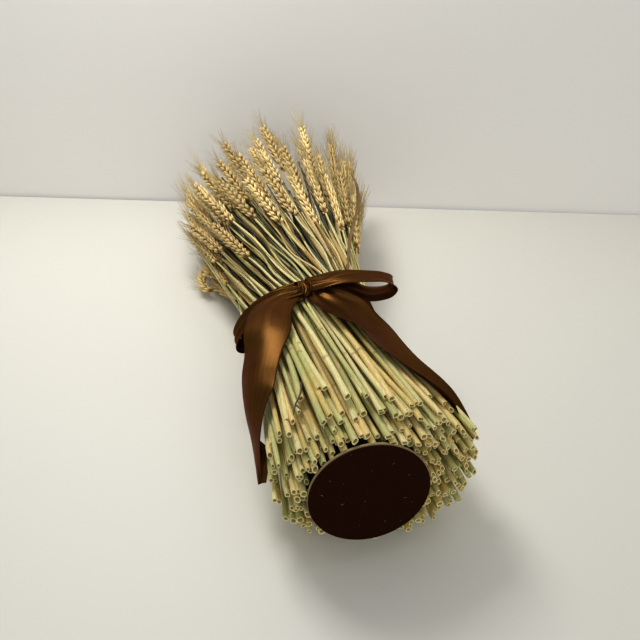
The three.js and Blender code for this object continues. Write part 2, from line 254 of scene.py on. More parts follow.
class BaseSettings(PropertyGroup):
    radius: size("Radius", "Radius of the board behind the felt", 0.038)
    felt_inset: size("Felt Inset", "How far the felt's edge is inside the board's", 0.0004)
    felt_thickness: size("Felt Thickness", "Thickness of the felt", 0.0012)
    felt: colour("Felt", "Colour of the felt on the foot", srgb(48, 25, 13))
    lint: colour("Lint", "Colour of the lint caught in the felt", srgb(150, 140, 132))
    board: colour("Board", "Colour of the board's rim", srgb(156, 136, 98))


class StalkSettings(PropertyGroup):
    straw_radius: size("Straw Radius", "Radius of a straw at its cut end", 0.00204)
    waist_radius: size("Waist Radius", "Radius of a straw where it is tied", 0.00134)
    stem_radius: size("Stem Radius", "Radius of a stem above the waist", 0.00125)
    neck_radius: size("Neck Radius", "Radius of a stem under its ear", 0.00085)
    tube_sides: whole_number("Tube Sides", "Sides of a straw or stem", 8)
    ear_length: size("Ear Length", "Length of an ear without its awns", 0.062)
    spikelets: whole_number("Spikelets", "Spikelets in two ranks along an ear", 19)
    awn_length: size("Awn Length", "Length of the longest awns", 0.054)
    leaf_half_width: size("Leaf Half Width", "Half the width of a dry leaf", 0.0022)
    seed: whole_number("Seed", "Seed of the turns of spikelets and awns", 7)
    cream: colour("Cream", "Colour of the palest straws", srgb(228, 214, 154))
    green: colour("Green", "Colour of the greener straws", srgb(180, 178, 112))
    gold: colour("Gold", "Colour of the riper straws", srgb(222, 184, 108))
    grain: colour("Grain", "Colour of the ears' florets", srgb(220, 182, 106))
    husk: colour("Husk", "Colour of the florets' pale tips", srgb(255, 238, 182))
    awn: colour("Awn", "Colour of the awns", srgb(186, 162, 108))
    leaf: colour("Leaf", "Colour of the dry leaves", srgb(186, 150, 88))


class RibbonSettings(PropertyGroup):
    width: size("Width", "Width of the satin ribbon", 0.036)
    thickness: size("Thickness", "Thickness of the satin", 0.0004)
    satin: colour("Satin", "Colour of the satin", srgb(84, 57, 27))


class StageSettings(PropertyGroup):
    lens: FloatProperty(
        name="Lens", description="Focal length, in millimetres", default=43.9, min=1
    )
    table: colour("Table", "Colour of the pale table", srgb(214, 211, 200))
    wall: colour("Wall", "Colour of the wall behind it", srgb(236, 233, 227))
    key: FloatProperty(
        name="Key Power",
        description="Power of the overhead light, which the other lights follow",
        default=3.1,
        unit="POWER",
    )


# ---- Nodes ------------------------------------------------------------------------------


class Signal:
    """A node's output. Arithmetic on it adds the Math nodes that it needs."""

    def __init__(self, graph, socket):
        self.graph = graph
        self.socket = socket

    def __add__(self, other):
        return self.graph.math("ADD", self, other)

    def __sub__(self, other):
        return self.graph.math("SUBTRACT", self, other)

    def __rsub__(self, other):
        return self.graph.math("SUBTRACT", other, self)

    def __mul__(self, other):
        return self.graph.math("MULTIPLY", self, other)

    def __lt__(self, other):
        return self.graph.math("LESS_THAN", self, other)

    def __gt__(self, other):
        return self.graph.math("GREATER_THAN", self, other)

    def __mod__(self, other):
        return self.graph.math("MODULO", self, other)

    __radd__ = __add__
    __rmul__ = __mul__


class Graph:
    """Adds nodes to a tree of shader or geometry nodes."""

    def __init__(self, tree):
        self.tree = tree

    def add(self, kind, settings=None, sockets=None, output=0):
        """A node of a kind, its settings first, then values or links for its sockets."""
        node = self.tree.nodes.new(kind)
        for name, value in (settings or {}).items():
            setattr(node, name, value)
        for key, value in (sockets or {}).items():
            for each in value if isinstance(value, list) else [value]:
                if isinstance(each, Signal):
                    self.tree.links.new(each.socket, node.inputs[key])
                else:
                    node.inputs[key].default_value = each
        return Signal(self, node.outputs[output]) if len(node.outputs) else node

    def math(self, operation, first, second=0.0, clamp=False):
        settings = {"operation": operation, "use_clamp": clamp}
        return self.add("ShaderNodeMath", settings, {0: first, 1: second})

    def clamp(self, value):
        return self.math("ADD", value, 0.0, clamp=True)

    def mix(self, factor, first, second):
        return self.add(
            "ShaderNodeMix", {"data_type": "RGBA"}, {0: factor, 6: first, 7: second}, 2
        )

    def tinted(self, colour_signal, factor):
        """A colour made lighter or darker by a number."""
        if not isinstance(colour_signal, Signal):
            colour_signal = colour_signal[:3]
        return self.add(
            "ShaderNodeVectorMath",
            {"operation": "SCALE"},
            {0: colour_signal, "Scale": factor},
        )

    def axes(self, vector):
        """A vector's three parts."""
        split = self.add("ShaderNodeSeparateXYZ", None, {0: vector})
        return [Signal(self, socket) for socket in split.socket.node.outputs]

    def attribute(self, name):
        return self.add("ShaderNodeAttribute", {"attribute_name": name}, output="Fac")

    def stored(self, name, data_type="FLOAT"):
        """A named attribute, in a geometry tree."""
        return self.add(
            "GeometryNodeInputNamedAttribute", {"data_type": data_type}, {"Name": name}
        )

    def noise(self, place_signal, scale, detail=2.0, stretch=(1, 1, 1)):
        """Noise on the piece's own coordinates, drawn out along one of its directions."""
        if stretch != (1, 1, 1):
            sockets = {"Vector": place_signal, "Scale": stretch}
            place_signal = self.add("ShaderNodeMapping", None, sockets)
        sockets = {"Vector": place_signal, "Scale": scale, "Detail": detail}
        return self.add("ShaderNodeTexNoise", None, sockets, "Fac")

    def bump(self, height, distance, strength=1.0):
        sockets = {"Height": height, "Distance": distance, "Strength": strength}
        return self.add("ShaderNodeBump", None, sockets)


def new_material(name, build, uniform=None):
    """A material whose build function returns the sockets that change over the surface."""
    material = bpy.data.materials.new(name)
    material.use_nodes = True
    material.node_tree.nodes.clear()
    graph = Graph(material.node_tree)
    place_signal = graph.add("ShaderNodeTexCoord", output="Object")
    sockets = {**(uniform or {}), **build(graph, place_signal)}
    shader = graph.add("ShaderNodeBsdfPrincipled", None, sockets)
    graph.add("ShaderNodeOutputMaterial", None, {"Surface": shader})
    return material


def new_geometry_tree(name, inputs):
    """A geometry tree with named inputs: its graph, their signals and identifiers."""
    tree = bpy.data.node_groups.new(name, "GeometryNodeTree")
    tree.interface.new_socket("Geometry", in_out="OUTPUT", socket_type="NodeSocketGeometry")
    identifiers = {}
    for label, kind in inputs.items():
        socket = tree.interface.new_socket(
            label, in_out="INPUT", socket_type=f"NodeSocket{kind}"
        )
        identifiers[label] = socket.identifier
    source = tree.nodes.new("NodeGroupInput")
    graph = Graph(tree)
    signals = {label: Signal(graph, source.outputs[label]) for label in inputs}
    return graph, signals, identifiers


# ---- Meshes -----------------------------------------------------------------------------


def new_object(name, points, faces, edges=(), attributes=None, linked=True):
    """An object at the origin with its place in its mesh, and its attributes on points."""
    mesh = bpy.data.meshes.new(name)
    mesh.from_pydata(np.asarray(points).tolist(), list(edges), list(faces))
    for key, values in (attributes or {}).items():
        values = np.asarray(values, float)
        kind = "FLOAT_VECTOR" if values.ndim == 2 else "FLOAT"
        layer = mesh.attributes.new(key, kind, "POINT")
        layer.data.foreach_set("vector" if values.ndim == 2 else "value", values.ravel())
    mesh.shade_smooth()
    mesh.update()
    piece = bpy.data.objects.new(name, mesh)
    if linked:
        bpy.context.scene.collection.objects.link(piece)
    return piece


def grown(name, guides, tree, identifiers, values):
    """The plain mesh that a geometry tree makes from guides, which are then removed."""
    modifier = guides.modifiers.new(tree.name, "NODES")
    modifier.node_group = tree
    for label, value in values.items():
        modifier[identifiers[label]] = value
    depsgraph = bpy.context.evaluated_depsgraph_get()
    mesh = bpy.data.meshes.new_from_object(guides.evaluated_get(depsgraph))
    mesh.name = name
    guides.modifiers.remove(modifier)
    bpy.data.objects.remove(guides)
    piece = bpy.data.objects.new(name, mesh)
    bpy.context.scene.collection.objects.link(piece)
    return piece


def fitted(piece, slot_name, *nodes, material=None):
    """Rides a piece on the sheaf and hides the solids that it stands for. A piece that no
    tree has grown also gets its material here."""
    if material:
        piece.data.materials.append(material)
    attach(piece, "root")
    if nodes:
        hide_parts(*nodes)


def grid_faces(rows, columns, closed=False):
    """Quads over rows of points, closed round each row or not."""
    faces = []
    last = columns if closed else columns - 1
    for row in range(rows - 1):
        for column in range(last):
            after = (column + 1) % columns
            a, b = row * columns + column, row * columns + after
            faces.append((a, b, b + columns, a + columns))
    return faces


def turned_profile(profile, sides):
    """Points and faces of a profile of radii and heights, turned about Z and closed."""
    turns = np.arange(sides) * 2 * math.pi / sides
    rings = [
        np.stack([r * np.cos(turns), r * np.sin(turns), np.full(sides, z)], axis=-1)
        for r, z in profile[1:-1]
    ]
    points = np.vstack([[(0, 0, profile[0][1])], *rings, [(0, 0, profile[-1][1])]])
    last = len(points) - 1
    start = last - sides
    faces = [tuple(1 + i for i in quad) for quad in grid_faces(len(rings), sides, True)]
    for i in range(sides):
        after = (i + 1) % sides
        faces.append((0, 1 + after, 1 + i))
        faces.append((last, start + i, start + after))
    return points, faces


def merged(parts):
    """Points, faces and attributes of several parts as one."""
    points, faces, attributes = [], [], {}
    total = 0
    for part_points, part_faces, part_attributes in parts:
        points.append(part_points)
        faces += [tuple(total + i for i in face) for face in part_faces]
        for key, values in part_attributes.items():
            attributes.setdefault(key, []).append(values)
        total += len(part_points)
    joined = {key: np.concatenate(values) for key, values in attributes.items()}
    return np.vstack(points), faces, joined


# ---- Base disc --------------------------------------------------------------------------

DISC_SIDES = 128
BOARD_EDGE = 0.0004
FELT_EDGE = 0.0005
FELT_GAP = 0.0003
# Where the bits of lint lie on the felt, in millimetres from its middle, across and up.
LINT = (
    (-23.7, 15), (-16.5, 12.1), (-2.3, -5.3), (23.3, -6.2), (26, -10.9),
    (24.2, 12.3), (-11.4, 33.5), (10.1, -23), (14.5, 23.5), (0.7, 19.8),
    (-18.3, -4.5), (-5.7, -23.9), (-28.5, 4), (19.7, -25),
)
LINT_RADIUS = 0.11
LINT_POINTS = 7
LINT_SIDES = 4


def leaning(across, outwards, rise):
    """Places from the disc's middle, which leans with the disc."""
    lean_cos, lean_sin = math.cos(BASE_TILT), math.sin(BASE_TILT)
    y = rise * lean_sin - outwards * lean_cos
    return np.stack([across, y, rise * lean_cos + outwards * lean_sin], axis=-1)


def disc_mesh(radius, thickness, edge, back):
    """A disc with a rounded edge, its back at a distance in front of the board's back."""
    profile = [
        (0, 0),
        (radius * 0.5, 0),
        (radius - edge, 0),
        (radius - 0.3 * edge, 0.3 * edge),
        (radius, edge),
        (radius, thickness - edge),
        (radius - 0.3 * edge, thickness - 0.3 * edge),
        (radius - edge, thickness),
        (radius * 0.75, thickness),
        (radius * 0.5, thickness),
        (radius * 0.25, thickness),
        (0, thickness),
    ]
    points, faces = turned_profile(profile, DISC_SIDES)
    placed = leaning(points[:, 0], back + points[:, 2], points[:, 1])
    return placed + located((0, 0, BASE_HEIGHT)), faces


def darker(colour_value, share):
    return (*[share * part for part in colour_value[:3]], 1)


def felt_look(settings):
    """Dark felt with a fine pile and specks of dust."""

    def build(graph, place_signal):
        fuzz = graph.noise(place_signal, 2600, 4)
        pile = graph.noise(place_signal, 420, 3)
        specks = graph.math("POWER", graph.noise(place_signal, 700, 1), 14)
        lint = graph.clamp(specks * 3.0) * 0.16
        shade = graph.clamp(fuzz * 0.7 + pile * 0.7 + -0.1)
        felt = graph.mix(shade, darker(settings.felt, 0.45), settings.felt)
        return {
            "Base Color": graph.mix(lint, felt, settings.lint),
            "Normal": graph.bump(fuzz + pile * 0.6, 0.0004, 0.8),
        }

    uniform = {"Roughness": 1.0, "Specular IOR Level": 0.03}
    return new_material("Dark Felt", build, uniform)


def lint_look(settings):
    def build(graph, place_signal):
        dust = graph.noise(place_signal, 1800, 2)
        return {"Base Color": graph.tinted(settings.lint, dust * 0.7 + 0.5)}

    return new_material("Pale Lint", build, {"Roughness": 1.0})


def board_look(settings):
    def build(graph, place_signal):
        fibre = graph.noise(place_signal, 1400, 4, (0.3, 3, 0.3))
        return {
            "Base Color": graph.mix(fibre, darker(settings.board, 0.62), settings.board),
            "Normal": graph.bump(fibre, 0.0003, 0.6),
        }

    return new_material("Pale Board", build, {"Roughness": 0.85})


def lint_mesh(front):
    """Short curved fibres that lie on the felt, whose face is at a distance in front."""
    turns = np.arange(LINT_SIDES) * 2 * math.pi / LINT_SIDES
    tip = (LINT_POINTS - 1) * LINT_SIDES + np.arange(LINT_SIDES)
    ends = [tuple(range(LINT_SIDES))[::-1], tuple(tip.tolist())]
    faces = [*grid_faces(LINT_POINTS, LINT_SIDES, True), *ends]
    parts = []
    for number, (across, rise) in enumerate(LINT):
        heading = math.pi * draw(number, 41)
        length = 1.7 + 1.3 * draw(number, 42)
        bend = 1.6 * draw(number, 43)
        way = heading + bend * np.linspace(-0.5, 0.5, LINT_POINTS)
        line = np.stack([np.cumsum(np.cos(way)), np.cumsum(np.sin(way))], axis=-1)
        line = line * length / LINT_POINTS
        taper = np.sin(math.pi * np.linspace(0.15, 0.85, LINT_POINTS))
        radius = LINT_RADIUS * taper[:, None]
        x = across + line[:, :1] - radius * np.sin(way)[:, None] * np.cos(turns)
        z = rise + line[:, 1:] + radius * np.cos(way)[:, None] * np.cos(turns)
        placed = leaning(x, front + 0.6 * LINT_RADIUS + radius * np.sin(turns), z)
        placed = placed.reshape(-1, 3) + (0, 0, BASE_HEIGHT)
        parts.append((located(placed), faces, {}))
    return merged(parts)


class WHEAT_OT_base(Operator):
    """Builds the board and the felt of the base disc"""

    bl_idname = "wheat.base"
    bl_label = "Base Disc"

    def execute(self, context):
        settings = context.scene.wheat_base
        board = BOARD_THICKNESS * MM
        piece = new_object(
            "base_board_disc", *disc_mesh(settings.radius, board, BOARD_EDGE, 0)
        )
        fitted(piece, "board", "base_board", material=board_look(settings))
        radius, thickness = settings.radius - settings.felt_inset, settings.felt_thickness
        points, faces = disc_mesh(radius, thickness, FELT_EDGE, board + FELT_GAP)
        piece = new_object("base_felt_disc", points, faces)
        fitted(piece, "felt", "base_felt", material=felt_look(settings))
        points, faces, _ = lint_mesh(BOARD_THICKNESS + (FELT_GAP + thickness) / MM)
        piece = new_object("felt_lint", points, faces)
        fitted(piece, "felt", material=lint_look(settings))
        return {"FINISHED"}


# ---- Strands ----------------------------------------------------------------------------


class Strands:
    """Open lines of points with attributes, which a geometry tree turns into stalks."""

    # One of these keys darkens stalks that lie deep in the sheaf: painted shade.
    KEYS = ("kind", "girth", "tone", "hue", "joint", "bristle", "deep", "facing")

    def __init__(self):
        self.points = []
        self.edges = []
        self.values = {key: [] for key in self.KEYS}
        self.total = 0

    def line(
        self, points, kind, girth, tone, hue, facing, joint=0.0, bristle=1.0, deep=0.0
    ):
        count = len(points)
        self.points.append(located(points))
        ends = range(self.total, self.total + count - 1)
        self.edges += [(i, i + 1) for i in ends]
        row = (kind, girth, tone, hue, joint, bristle, deep)
        for key, value in zip(self.KEYS, row):
            self.values[key].append(np.broadcast_to(np.asarray(value, float), count))
        self.values["facing"].append(np.broadcast_to(facing, (count, 3)))
        self.total += count

    def guides(self, name):
        attributes = {key: np.concatenate(rows) for key, rows in self.values.items()}
        return new_object(name, np.vstack(self.points), [], self.edges, attributes)


STRAW_BOW = 4
STRAW_TURN = 0.06
STRAW_INSET = 0.05
# Two straws in ten of a ring whose ends spread are cut shorter than the rest.
SHORT_CUT = 12
SHORT_DRAW = 0.6
SHORT_SPREAD = 5
# How much the straws of the inner rings are darkened near the waist: painted shade between
# the straws.
STRAW_DEPTH_SHADE = 3.2
JOINT_CLEAR = 4.5
JOINT_OFFSETS = np.array((-3.2, -1.4, -0.5, 0.5, 1.4, 3.2))
JOINT_SWELL = 0.16
BAND_HIDES = 8.0


def add_straw(strands, ring, angle, number, cut_spread, sizes):
    """A cut straw from under the ribbon down to its end in the skirt."""
    cut = ring["cut"] + cut_spread * draw(number, 1)
    cut += SHORT_CUT * (draw(number, 30) > SHORT_DRAW) * (cut_spread > SHORT_SPREAD)
    share = ring_share(ring, cut) - STRAW_INSET * abs(draw(number, 2))
    root = place(WAIST["station"], angle, ring["waist"])
    end = place(cut, angle + STRAW_TURN * draw(number, 3), share)
    length = np.linalg.norm(end - root)
    along = (end - root) / length
    joint_at = length * (0.52 + 0.22 * draw(number, 7))
    tube = length - CUT_LENGTH * sizes.straw_radius / MM
    steps = np.linspace(-BAND_HIDES, tube, 9)
    clear = np.abs(steps - joint_at) > JOINT_CLEAR
    clear[[0, -1]] = True
    reach = np.sort(np.concatenate([steps[clear], joint_at + JOINT_OFFSETS]))
    t = np.clip(reach / length, 0, 1)
    outward = unit(np.array((root[0], 0, root[2] - WAIST["height"])))
    sideways = np.cross(along, outward)
    bow = np.sin(math.pi * t)[:, None] * STRAW_BOW
    bend = outward * (0.4 * draw(number, 8) - 0.15) + sideways * 0.7 * draw(number, 9)
    points = root + along * reach[:, None] + bow * bend
    near = np.exp(-(((reach - joint_at) / 1.2) ** 2))
    # Painted shade: straws of the inner rings darken towards the waist, and less towards
    # their cut ends.
    deep = STRAW_DEPTH_SHADE * (1 - ring["waist"]) * (1 - t**3)
    thickness = lerp(sizes.waist_radius, sizes.straw_radius, t**0.8)
    girth = thickness * (1 + 0.2 * draw(number, 10)) * (1 + JOINT_SWELL * near)
    strands.line(points, STRAW, girth, *shades(number, 11), sideways, near, deep=deep)


STEM_POINTS = 16
STEM_WANDER = 4.2
EAR_POINTS = 8
EAR_GIRTHS = (0.0011, 0.0006)
EAR_ROLL = 0.5
STALK_SWAY = 0.03
ROUTE_POINTS = 40
# How much shorter the awns are on top of the sheaf.
TOP_TRIM = 0.16


def rolled_facing(point, station, roll):
    """The way out from the sheaf's middle at a point, rolled about its length."""
    outward = unit(np.array((point[0], 0, point[2] - outline(station, "height"))))
    x = outward[0] * math.cos(roll) + outward[2] * math.sin(roll)
    return np.array((x, 0, outward[2] * math.cos(roll) - outward[0] * math.sin(roll)))


def add_stem(strands, stations, angle, share, number, sizes, ends, deep=0.0):
    """A stem along the sheaf's flow from under the ribbon, between two radii."""
    points = place(stations, angle, share)
    run = (stations - stations[0]) / (stations[-1] - stations[0])
    wander = np.sin(math.pi * run) * np.sin(2 * math.pi * run + 3 * draw(number, 13))
    points[:, 0] += STEM_WANDER * draw(number, 14) * wander
    points[:, 2] += 0.6 * STEM_WANDER * draw(number, 15) * wander
    tone, hue = 0.7 + 0.3 * draw(number, 16), 0.45 + 0.45 * draw(number, 17)
    facing = rolled_facing(points[len(points) // 2], stations[len(points) // 2], 0)
    strands.line(points, STEM, lerp(ends[0], ends[1], run), tone, hue, facing, deep=deep)


def add_eared_stalk(strands, ring, angle, number, sizes):
    """A stem and its ear, which follow the solids' own flow and draws."""
    lean = FAN_SLANT * math.cos(angle + turn_at(FAN["station"]))
    tip = ring["tip"] + ring["spread"] * draw(number, 4) + lean
    sway = STALK_SWAY * draw(number, 5)
    fan = INNER_DEEP_FAN if ring is INNER and number % 2 else ring["fan"]
    neck = tip - sizes.ear_length / MM

    def flow(stations):
        rise = blend(stations) * (stations > WAIST["station"])
        return angle + sway * rise, lerp(ring["waist"], fan, rise)

    stations = np.linspace(WAIST["station"] - BAND_HIDES, neck + 1, STEM_POINTS)
    ends = (sizes.stem_radius, sizes.neck_radius)
    add_stem(strands, stations, *flow(stations), number, sizes, ends)
    stations = np.linspace(neck, tip, EAR_POINTS)
    points = place(stations, *flow(stations))
    facing = rolled_facing(points[0], neck, EAR_ROLL * draw(number, 6))
    bristle = 1 - TOP_TRIM * max(0, math.sin(angle + turn_at(neck)))
    add_ear(strands, points, number, facing, bristle)


def add_ear(strands, points, number, facing, bristle=1.0):
    girth = np.linspace(*EAR_GIRTHS, len(points))
    strands.line(points, EAR, girth, *shades(number, 18), facing, bristle=bristle)


def add_routed_stem(strands, route, ear_length, tone, hue, sizes):
    """A stem along a route as far as the neck of its ear, whose own points it returns."""
    reach = np.cumsum(np.linalg.norm(np.diff(route, axis=0), axis=1))
    neck = int(np.searchsorted(reach, reach[-1] - ear_length))
    stem = route[: neck + 2]
    girth = np.linspace(sizes.stem_radius, sizes.neck_radius, len(stem))
    strands.line(stem, STEM, girth, tone, hue, UP)
    return route[neck:]


def add_curled_stalk(strands, angle, number, sizes):
    """The stalk at the edge of the fan whose ear lies curled beside the sheaf. The ear is
    made in two halves, so that its spikelets lie close enough."""
    tied = [place(station, angle, 1) for station in (WAIST["station"], 235)]
    route = smooth_path([*tied, *CURLED_ROUTE], ROUTE_POINTS)
    ear = add_routed_stem(strands, route, CURLED_EAR, 0.4, 0.6, sizes)
    middle = len(ear) // 2
    for half in (ear[: middle + 1], ear[middle:]):
        add_ear(strands, half, number, UP, LOW_BRISTLE)


def add_low_stalks(strands, angle, sizes):
    """The stems that lie under the fan's left edge as far as the curled ear, one with an
    ear of its own."""
    for step in range(LOW_STEMS):
        stem_number = LOW_NUMBERS + step
        t = (step + 0.5) / LOW_STEMS
        shifted = angle + 0.5 * (0.5 - t) + 0.06 * draw(stem_number, 31)
        tied = [place(station, shifted, 0.97) for station in LOW_TIED]
        end = np.array([lerp(low, high, t) for low, high in zip(*LOW_ENDS)])
        end += np.array((2.5, 16, 2)) * [draw(stem_number, use) for use in (32, 33, 34)]
        halfway = lerp(tied[1], end, 0.55) + (0, 0, 2 * draw(stem_number, 35))
        route = smooth_path([*tied, halfway, end], STEM_POINTS)
        girth = np.linspace(sizes.stem_radius, 0.6 * sizes.neck_radius, STEM_POINTS)
        strands.line(route, STEM, girth, *shades(stem_number, 36), UP)
    tied = [place(station, angle + 0.1, 1) for station in LOW_TIED]
    route = smooth_path([*tied, *SMALL_EAR_ROUTE], ROUTE_POINTS)
    ear = add_routed_stem(strands, route, SMALL_EAR, 0.2, 0.4, sizes)
    add_ear(strands, ear, SMALL_EAR_NUMBER, np.array((-0.3, 0.2, 0.93)), LOW_BRISTLE)


def add_leaf(strands, angle, number, sizes):
    """A dry leaf or sheath that lies along the stems and lifts off them at its tip."""
    start = 228 + 36 * draw(number, 20)
    length = 78 + 25 * draw(number, 21)
    share = 0.96 + 0.05 * draw(number, 22)
    stations = np.linspace(start, start + length, LEAF_POINTS)
    run = np.linspace(0, 1, LEAF_POINTS)
    points = place(stations, angle + 0.05 * run * draw(number, 23), share)
    middle = LEAF_POINTS // 2
    facing = rolled_facing(points[middle], stations[middle], 0.6 * draw(number, 24))
    points = points + facing * (1.2 + 3.5 * run[:, None] ** 2 * draw(number, 25))
    girth = sizes.leaf_half_width * (0.25 + np.sin(math.pi * (0.12 + 0.86 * run)))
    strands.line(points, LEAF, girth * 0.8, *shades(number, 26), facing)


LEAVES = 2
LEAF_POINTS = 12
# Leaves grow where the stalks at this station are no farther to the right than this.
LEAF_STATION = 300
LEAF_SIDE = 0.45
# Each ring of straws, with how far its cut ends spread.
STRAW_RINGS = ((OUTER, 13), (MIDDLE, 10), (INNER, 7))
SIDE_SPREAD = 5
RIM_SPREAD = 3
# The first number that each kind of stalk takes for its draws.
STRAW_NUMBERS = 100
LOW_NUMBERS = 700
SMALL_EAR_NUMBER = 760
LEAF_NUMBERS = 900
SIDE_NUMBERS = 1000
CORE_NUMBERS = 2000
CORE_STEM_NUMBERS = 3000
# A ring of straws ends close behind the disc's rim all round it, and more rings fill the
# room at the right, where the disc is far from the skirt's hem.
RIM_RING = {"waist": 0.86, "skirt": 0.79, "fan": 0.8, "cut": 5}
SIDE_RINGS = (
    {"waist": 0.92, "skirt": 0.93, "fan": 0.9, "cut": 14},
    {"waist": 0.78, "skirt": 0.78, "fan": 0.8, "cut": 9},
    {"waist": 0.7, "skirt": 0.6, "fan": 0.6, "cut": 7},
    {"waist": 0.6, "skirt": 0.51, "fan": 0.5, "cut": 6},
)
SIDE_REACH = math.radians(75)
RIM_LOWEST = -0.3


def bunch_strands(index, sizes):
    """One bunch's cut straws, stems, ears and leaves, round its angle at the waist."""
    strands = Strands()
    angle = index * WEDGE
    thirds = (-WEDGE / 3, 0, WEDGE / 3)
    for step, (ring, cut_spread) in enumerate(STRAW_RINGS):
        for place_in, turn in enumerate(thirds):
            number = STRAW_NUMBERS + 27 * index + 9 * step + place_in
            shifted = angle + turn + 0.5 * WEDGE / 3 * (step % 2)
            add_straw(strands, ring, shifted, number, cut_spread, sizes)
            if place_in == 0 or (place_in == 2 and ring is not OUTER):
                add_bare_stem(strands, ring, shifted, number + 3, sizes)
    hem_angle = (angle + turn_at(SKIRT["station"]) + math.pi) % (2 * math.pi) - math.pi
    if abs(hem_angle) < SIDE_REACH:
        for step, ring in enumerate(SIDE_RINGS):
            for place_in, turn in enumerate(thirds):
                number = SIDE_NUMBERS + 36 * index + 9 * step + place_in
                shifted = angle + turn + WEDGE / 6 * (1 - step)
                add_straw(strands, ring, shifted, number, SIDE_SPREAD, sizes)
    elif math.sin(hem_angle) > RIM_LOWEST:
        for place_in, turn in enumerate(thirds):
            number = SIDE_NUMBERS + 36 * index + place_in
            add_straw(strands, RIM_RING, angle + turn, number, RIM_SPREAD, sizes)
    add_odd_strands(strands, index, sizes)
    quarter = WEDGE / 4
    if index == CURLED_BUNCH:
        add_curled_stalk(strands, angle + quarter, index, sizes)
        add_low_stalks(strands, angle, sizes)
    else:
        add_eared_stalk(strands, OUTER, angle + quarter, index, sizes)
    add_eared_stalk(strands, MIDDLE, angle - quarter, index + BUNCHES, sizes)
    add_eared_stalk(strands, INNER, angle, index + 2 * BUNCHES, sizes)
    if math.cos(angle + turn_at(LEAF_STATION)) < LEAF_SIDE:
        for step in range(LEAVES):
            turn = WEDGE * ((step + 0.5) / LEAVES - 0.5)
            add_leaf(strands, angle + turn, LEAF_NUMBERS + 40 * step + index, sizes)
    return strands


def add_odd_strands(strands, index, sizes):
    """The old leaf and the dark twig, each with the bunch that holds it."""
    if index == EDGE_LEAF_BUNCH:
        route = smooth_path(EDGE_LEAF_ROUTE, 14)
        girth = 0.9 * sizes.leaf_half_width * np.sin(math.pi * np.linspace(0.1, 0.96, 14))
        strands.line(route, LEAF, girth, -0.75, 0.5, np.array((0.9, 0, 0.44)))
    if index == TWIG_BUNCH:
        for twig in TWIG_ROUTES:
            route = smooth_path(twig, 12)
            strands.line(route, STEM, np.linspace(0.0007, 0.0004, 12), -1, 0.5, UP)


def add_bare_stem(strands, ring, angle, number, sizes):
    """A stem whose ear has broken off, ending among the others."""
    top = ring["tip"] - 70 + 14 * draw(number, 28)
    stations = np.linspace(WAIST["station"] - BAND_HIDES, top, STEM_POINTS)
    rise = blend(stations) * (stations > WAIST["station"])
    share = lerp(ring["waist"] - 0.03, ring["fan"] - 0.08, rise)
    ends = (sizes.stem_radius, 0.7 * sizes.neck_radius)
    sway = 0.05 * draw(number, 29) * rise
    # Painted shade: bare stems of the inner rings are darkened, deeper rings more.
    deep = 1 - ring["waist"]
    add_stem(strands, stations, angle + sway, share, number, sizes, ends, 3 * deep + 0.2)


# ---- Small shapes that are repeated -----------------------------------------------------

SPIKELET_LEAN = math.radians(16)
# Each floret's place, lean and fan, and its length, width and depth in metres.
FLORETS = (
    ((0.0004, 0.0012, 0), 0.9, 0.14, 0.0112, 0.0015, 0.0013),
    ((0.0004, -0.0012, 0), 0.9, -0.14, 0.0112, 0.0015, 0.0013),
    ((0.0012, 0, 0.0012), 1.35, 0.0, 0.0118, 0.0016, 0.0014),
    ((0.0000, 0.0021, -0.0006), 0.6, 0.17, 0.0088, 0.0011, 0.0011),
    ((0.0000, -0.0021, -0.0006), 0.6, -0.17, 0.0088, 0.0011, 0.0011),
)


def floret(base, lean, fan, length, width, depth):
    """A pointed floret of five sides, leaning out along X and fanned along Y."""
    profile = [(0, 0), (0.7, 0.14), (1, 0.38), (0.68, 0.72), (0, 1)]
    points, faces = turned_profile(profile, 5)
    husk = points[:, 2].copy()
    points = points * (depth, width, length)
    cos, sin = math.cos(lean), math.sin(lean)
    x = points[:, 0] * cos + points[:, 2] * sin
    z = points[:, 2] * cos - points[:, 0] * sin
    y = points[:, 1] + z * math.tan(fan)
    return np.stack([x, y, z], axis=-1) + base, faces, {"husk": husk}


def spikelet(spread, name):
    """A fan of florets, in metres, up Z and leaning along X."""
    root = np.array((0.0006, 0, 0))
    parts = [
        floret(root + base, SPIKELET_LEAN * lean, fan * spread, *measures)
        for base, lean, fan, *measures in FLORETS
    ]
    points, faces, attributes = merged(parts)
    return new_object(name, points, faces, attributes=attributes, linked=False)


def awn_tuft(lean, fan, curve, name):
    """Three awns from one spikelet, of about unit length, curving outwards."""
    parts = []
    for hand, reach in ((-1, 0.94), (0, 1.04), (1, 0.86)):
        run = np.linspace(0, reach, 6)
        line = np.stack(
            [
                run * math.sin(lean) + curve * run**2,
                hand * (0.02 + run * math.tan(fan)),
                0.1 + run * math.cos(lean),
            ],
            axis=-1,
        )
        radius = lerp(0.0088, 0.003, run / reach)
        turns = np.arange(3) * 2 * math.pi / 3
        ring = np.stack([np.cos(turns), np.sin(turns), 0 * turns], axis=-1)
        points = (line[:, None] + radius[:, None, None] * ring).reshape(-1, 3)
        faces = grid_faces(6, 3, True) + [(2, 1, 0), (15, 16, 17)]
        parts.append((points, faces, {"awn": np.full(len(points), 1.0)}))
    points, faces, attributes = merged(parts)
    return new_object(name, points, faces, attributes=attributes, linked=False)


CUT_LENGTH = 3.4
BORE_DEPTH = 1.9


